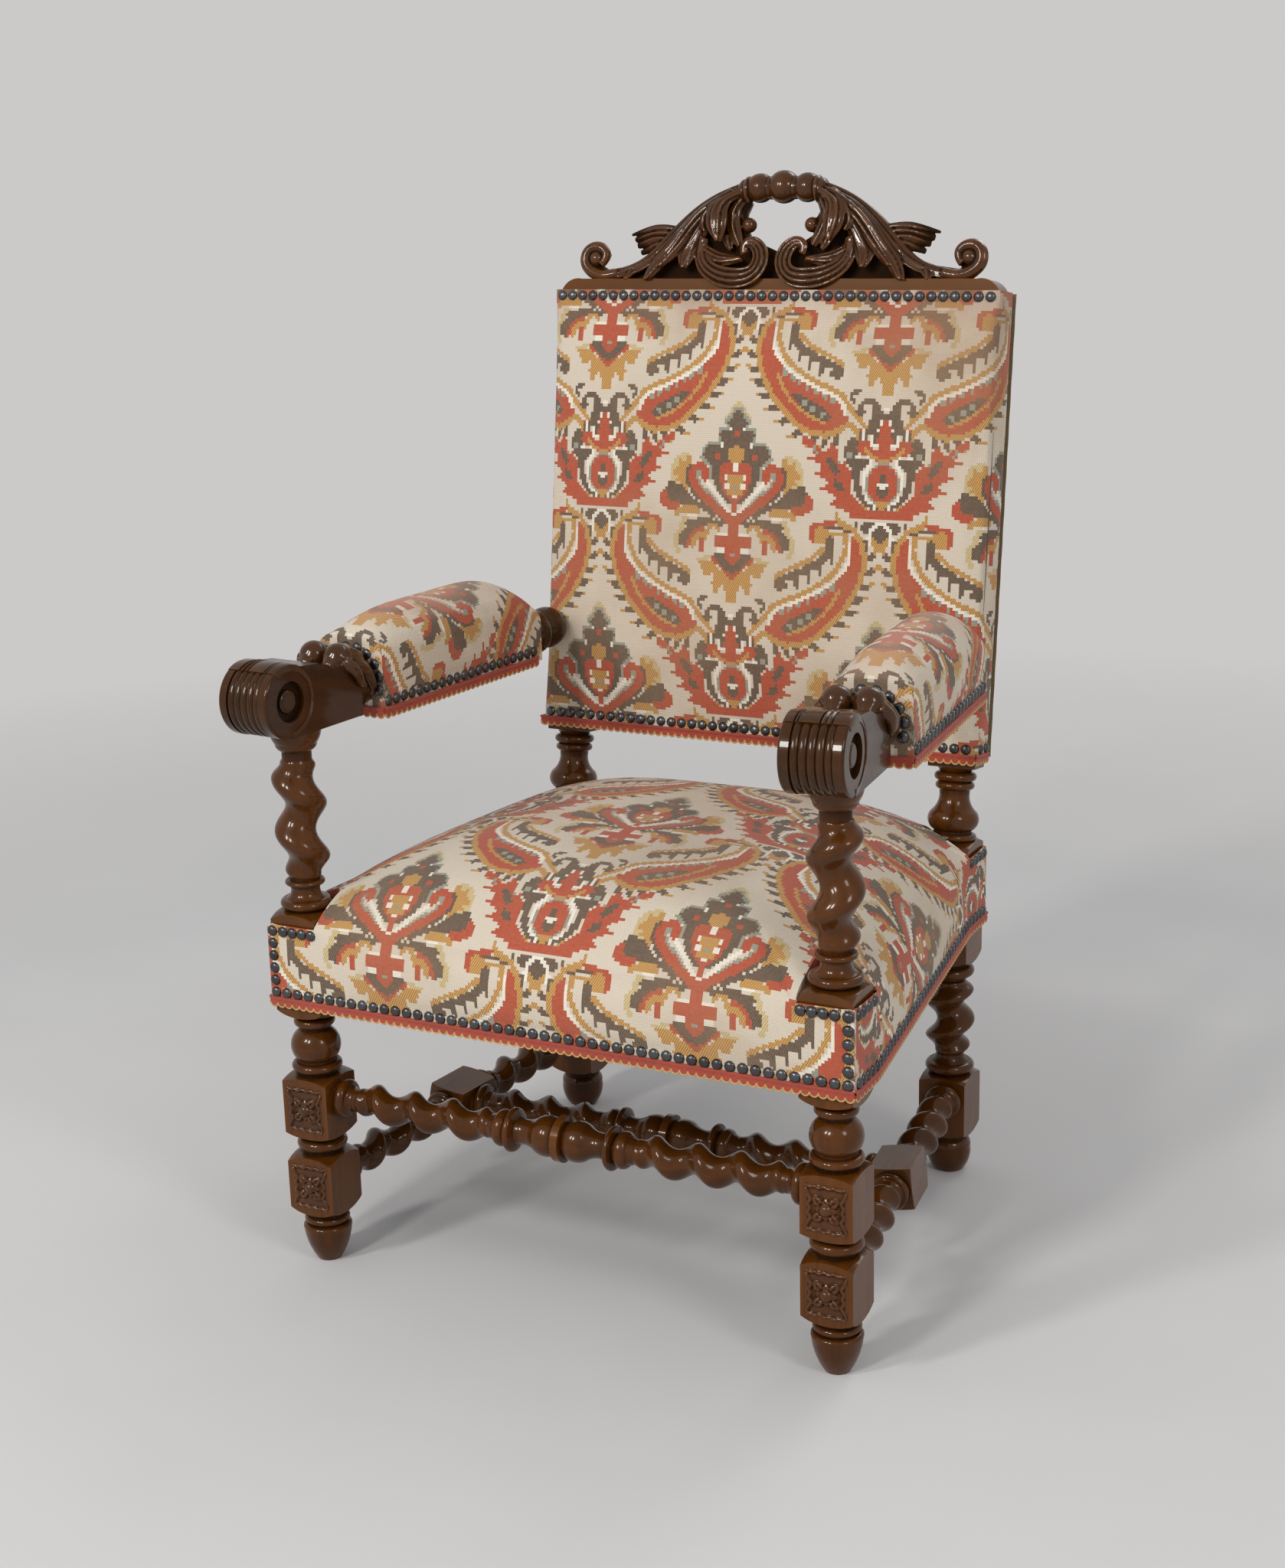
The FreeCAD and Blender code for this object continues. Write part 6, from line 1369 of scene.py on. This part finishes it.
rear_linen = woven("rear_linen", srgb(150, 128, 96), srgb(122, 100, 72), 0.0018, (0, 2))
dust_linen = woven("dust_linen", srgb(60, 56, 52), srgb(38, 36, 34), 0.0016)
steel = Finish("spring_steel", Metallic=0.85, Roughness=0.4)
rust = steel.noise(steel.place(), 70, 4)
rusty = steel.blend(steel.patchy(rust, 0.5, 4), srgb(126, 122, 118), srgb(96, 62, 42))
steel.finish(Base_Color=rusty, Roughness=(rust * 0.5 + 0.2).held())
dressed(steel.made, "seat_springs", "corner_screws")
dressed(woven("jute", srgb(150, 118, 78), srgb(112, 84, 54), 0.003), "seat_webbing", "back_webbing")
dressed(woven("canvas", srgb(196, 182, 152), srgb(164, 148, 118), 0.0016), "seat_canvas")
print("Jute, canvas and steel laid on the packed pieces")

# %% Tacked sheets
def pucker(edge, fade, *waves):
    """How far a sheet is drawn in near its tacked edges. Each wave is a half turn per unit."""
    return math.exp(-edge * fade) * sum(math.cos(wave * math.pi) for wave in waves)


def thickened(piece, thickness, finish):
    """Gives a sheet its thickness and its cloth."""
    applied(piece, ("SOLIDIFY", {"thickness": thickness * MM, "offset": 0}))
    smoothed(piece, 40)
    piece.data.materials.append(finish)


# %% The rear of the back
REAR_FACE = -27.9
corners = [Vector(leaning(x, up, REAR_FACE)) * MM for x, up in
           ((273.0, 94.0), (-273.0, 94.0), (-273.0, 605.6), (273.0, 605.6))]
outwards = Vector((0, math.cos(LEAN), -math.sin(LEAN)))
rear_cloth = grid("rear_cloth", 60, 60)
for vert in rear_cloth.data.vertices:
    u, v = vert.co.x + 0.5, vert.co.y + 0.5
    spot = (corners[0].lerp(corners[1], u)).lerp(corners[3].lerp(corners[2], u), v)
    slack = math.sin(math.pi * u) * math.sin(math.pi * v)
    drawn = pucker(min(u, 1 - u, v, 1 - v), 22, u * 26, v * 26)
    fold = 0.3 * math.sin(u * 9 + v * 4) * slack
    vert.co = spot + outwards * MM * (1.0 * (slack ** 0.6 + fold * 0.2) + drawn * 0.5 + 0.4)
thickened(rear_cloth, 0.8, rear_linen)
size = ((corners[1] - corners[0]).length, (corners[3] - corners[0]).length)
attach(rear_cloth, "root")
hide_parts("back_outer_cover")
print("rear_cloth flat size in mm:", [round(part / MM) for part in size])

# %% The foot of the seat
LOW_FRONT, LOW_REAR, LOW = -291.2, 248.8, 298.4
TAPER_FRONT, TAPER_REAR = -236.7, 194.3
LOW_FRONT_HALF, LOW_REAR_HALF = 324.4, 268.9
dust = grid("dust_cloth", 56, 48)
for vert in dust.data.vertices:
    u, v = vert.co.x * 2, vert.co.y + 0.5
    y = LOW_FRONT + (LOW_REAR - LOW_FRONT) * v
    share = clamped((y - TAPER_FRONT) / (TAPER_REAR - TAPER_FRONT))
    slack = math.cos(u * math.pi / 2) * math.sin(math.pi * v)
    drawn = pucker(min((1 - abs(u)) / 2, v, 1 - v), 24, u * 15, v * 26)
    half = LOW_FRONT_HALF + (LOW_REAR_HALF - LOW_FRONT_HALF) * share
    vert.co = Vector((u * half, y, LOW - 3.5 * slack ** 0.7 - drawn * 0.35)) * MM
open_corners(dust, (-236.2, 270.6), (193.8, 215.1))
thickened(dust, 0.6, dust_linen)
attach(dust, "root")
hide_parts("seat_dust_cloth")
print("Dust cloth laid under the seat")

# %% [markdown]
# ## The small carvings
# Each block of the front legs carries a shallow carved flower between ragged leaves, and behind each arm's
# scroll two rolled leaves lie side by side and run into a bell. They are drawn as the crest was, with
# rods and balls that a voxel remesh melts into one form, modelled once and copied to each place.

# %% Carved shapes
def melted(name, parts, voxel, mirror=True):
    """Joins rods and balls into one carved form."""
    form = joined(name, parts)
    applied(form, *([("MIRROR", {"use_axis": (True, False, False)})] if mirror else []),
            ("REMESH", {"mode": "VOXEL", "voxel_size": voxel * MM}),
            ("SMOOTH", {"factor": 0.5, "iterations": 2}))
    return form


def laid(name, form, place, deep, finish):
    """A copy of a carved form at its place, with its hollows marked."""
    mesh = form.data.copy()
    piece = linked(name, mesh)
    marked = cuts(mesh, deep)
    for vert in mesh.vertices:
        vert.co = Vector(place(vert.co.x / MM, vert.co.z / MM, -vert.co.y / MM)) * MM
    edited(piece, bpy.ops.mesh.normals_make_consistent, inside=False)
    bpy.ops.object.shade_smooth()
    mesh.materials.append(finish)
    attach(piece, "root")
    print(name, "faces:", len(mesh.polygons), "points in hollows:", marked)


# %% The flower of a leg block
PETAL = ((0.47, 0.8, 1.0, 1.2), (0.6, 2.2, 1.7, 1.9), (0.8, 2.0, 1.5, 1.6), (1.0, 0.4, 0.4, 0.9))
LARGE_PETAL, SMALL_PETAL = (17, 1.25), (11.0, 0.7)
petals = []
for turn in (45, 135, 225, 315, 0, 90, 180, 270):
    across, up = math.cos(math.radians(turn)), math.sin(math.radians(turn))
    reach, fat = LARGE_PETAL if turn % 90 else SMALL_PETAL
    for lean in (-1, 1):
        petals.append([(across * step * reach - up * bow * lean * fat,
                        up * step * reach + across * bow * lean * fat, rise, radius * fat)
                       for step, bow, rise, radius in PETAL])
for side in (-1, 1):
    petals.append([(-21, side * 24, 0.6, 1.5), (-16, side * 21, 0.9, 1.5), (-12, side * 24, 0.8, 1.4),
        (-7, side * 21, 1.0, 1.5), (-2, side * 24.5, 0.8, 1.4), (3, side * 21.5, 1.0, 1.5), (8, side *
        24.5, 0.8, 1.4), (13, side * 21.5, 0.9, 1.5), (20, side * 24, 0.6, 1.5)])
    petals.append([(side * 21, 20, 0.6, 1.4), (side * 19, 14, 1.0, 1.7), (side * 15, 9, 1.2, 1.7), (side *
        19, 4, 1.0, 1.5), (side * 16, 0, 1.2, 1.7), (side * 19, -5, 1.0, 1.5), (side * 15, -10, 1.2, 1.7),
        (side * 19, -15, 1.0, 1.7), (side * 21, -21, 0.6, 1.4)])
ground = board("flower_ground", [(-21.5, -25), (21.5, -25), (21.5, 25), (-21.5, 25)], 0.35, -2)
flower = melted("flower", [rods("petals", petals), ground, ball(0, 0, -0.2, 6.8)], 0.75, mirror=False)
BLOCK_FACE = FRONT_Y - HALF_POST
for side, word in SIDES:
    for middle, height in ((92.5, "lower"), (182.0, "upper")):
        laid(f"flower_{height}_{word}", flower,
             lambda x, up, forward: (side * ARM_FRONT + x, BLOCK_FACE - forward, middle + up), 1.6,
             carved_block_oak)
bpy.data.objects.remove(flower, do_unlink=True)

# %% [markdown]
# ## The scroll's band
# The scroll at an arm's front is a reeded band that is rolled round a level axis. Its section, a row of
# reeds and grooves, is drawn once as places across the band and distances from that axis, and is then
# spun round it.

# %% The reeded band of a scroll
REEDS = [(-31.8, 31), (-31.4, 35.6), (-30, 38), (-27, 38.9), (-20.6, 38.9), (-20, 37.4), (-19.2, 37.4),
    (-18.8, 38.7), (-17.4, 38.7), (-17, 37.2), (-16.2, 37.2), (-15.6, 38.8), (-6, 39.3), (3.4, 38.8),
    (3.9, 36.8), (4.7, 36.8), (5.2, 38.7), (7, 39.6), (8.8, 38.7), (9.3, 36.8), (10.1, 36.8),
    (10.6, 38.7), (12.4, 39.6), (14.2, 38.7), (14.7, 36.8), (15.5, 36.8), (16.1, 38.9), (27, 38.9),
    (30, 38), (31.4, 35.6), (31.8, 31)]
AXIS_ALONG, AXIS_HEIGHT, ROLLED, SPIN_STEPS = -40, 634, math.radians(-212), 48
for side, word in SIDES:
    outline = bmesh.new()
    outline.faces.new([outline.verts.new(Vector((x, AXIS_ALONG, AXIS_HEIGHT - radius)) * MM)
                       for x, radius in REEDS])
    mesh = bpy.data.meshes.new(f"scroll_band_{word}")
    outline.to_mesh(mesh)
    outline.free()
    band = linked(f"scroll_band_{word}", mesh)
    edited(band, bpy.ops.mesh.spin, steps=SPIN_STEPS, angle=ROLLED,
           center=Vector((0, AXIS_ALONG, AXIS_HEIGHT)) * MM, axis=(1, 0, 0))
    place = arm_place(side)
    for vert in mesh.vertices:
        x, along, up = vert.co / MM
        vert.co = Vector(place(x * side - ARM_SHIFT * side, along, up)) * MM
    edited(band, bpy.ops.mesh.normals_make_consistent, inside=False)
    smoothed(band, 35)
    mesh.materials.append(arm_oak)
    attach(band, "root")
    print(band.name, "faces:", len(mesh.polygons))

# %% The rolled leaves of an arm
leaves = [
    [(15.5, 650, -40, 8), (15.8, 657, -50, 13.5), (15.8, 659.5, -60, 15.2), (15.5, 656, -74, 13.5),
     (14, 650, -88, 11)],
    [(26, 657, -52, 8), (34, 650, -58, 7), (36, 640, -64, 5.5), (34, 631, -70, 4.5), (31, 627, -79, 3.5)],
    [(22, 653, -70, 10), (30, 645, -79, 8), (31.5, 634, -88, 6), (29, 622, -96, 4.5)],
    [(0, 649, -44, 4), (0, 651, -60, 5), (0, 650, -80, 7), (0, 650, -96, 6)],
]
BELL_RING, BELL_AXIS, BELL_AHEAD = 27, 626, -97.5
turns = [math.radians(turn) for turn in range(0, 121, 15)]
leaves.append([(BELL_RING * math.sin(turn), BELL_AXIS + BELL_RING * math.cos(turn), BELL_AHEAD, 3.4)
               for turn in turns])
roll = melted("roll", [rods("leaves", leaves), ball(15.8, 659.5, -56, 15.4)], 1.2)
for side, word in SIDES:
    place = arm_place(side)
    laid(f"rolled_leaves_{word}", roll,
         lambda x, up, forward: place(x - ARM_SHIFT * side, -forward, up), 1.4, carved_oak)
bpy.data.objects.remove(roll, do_unlink=True)
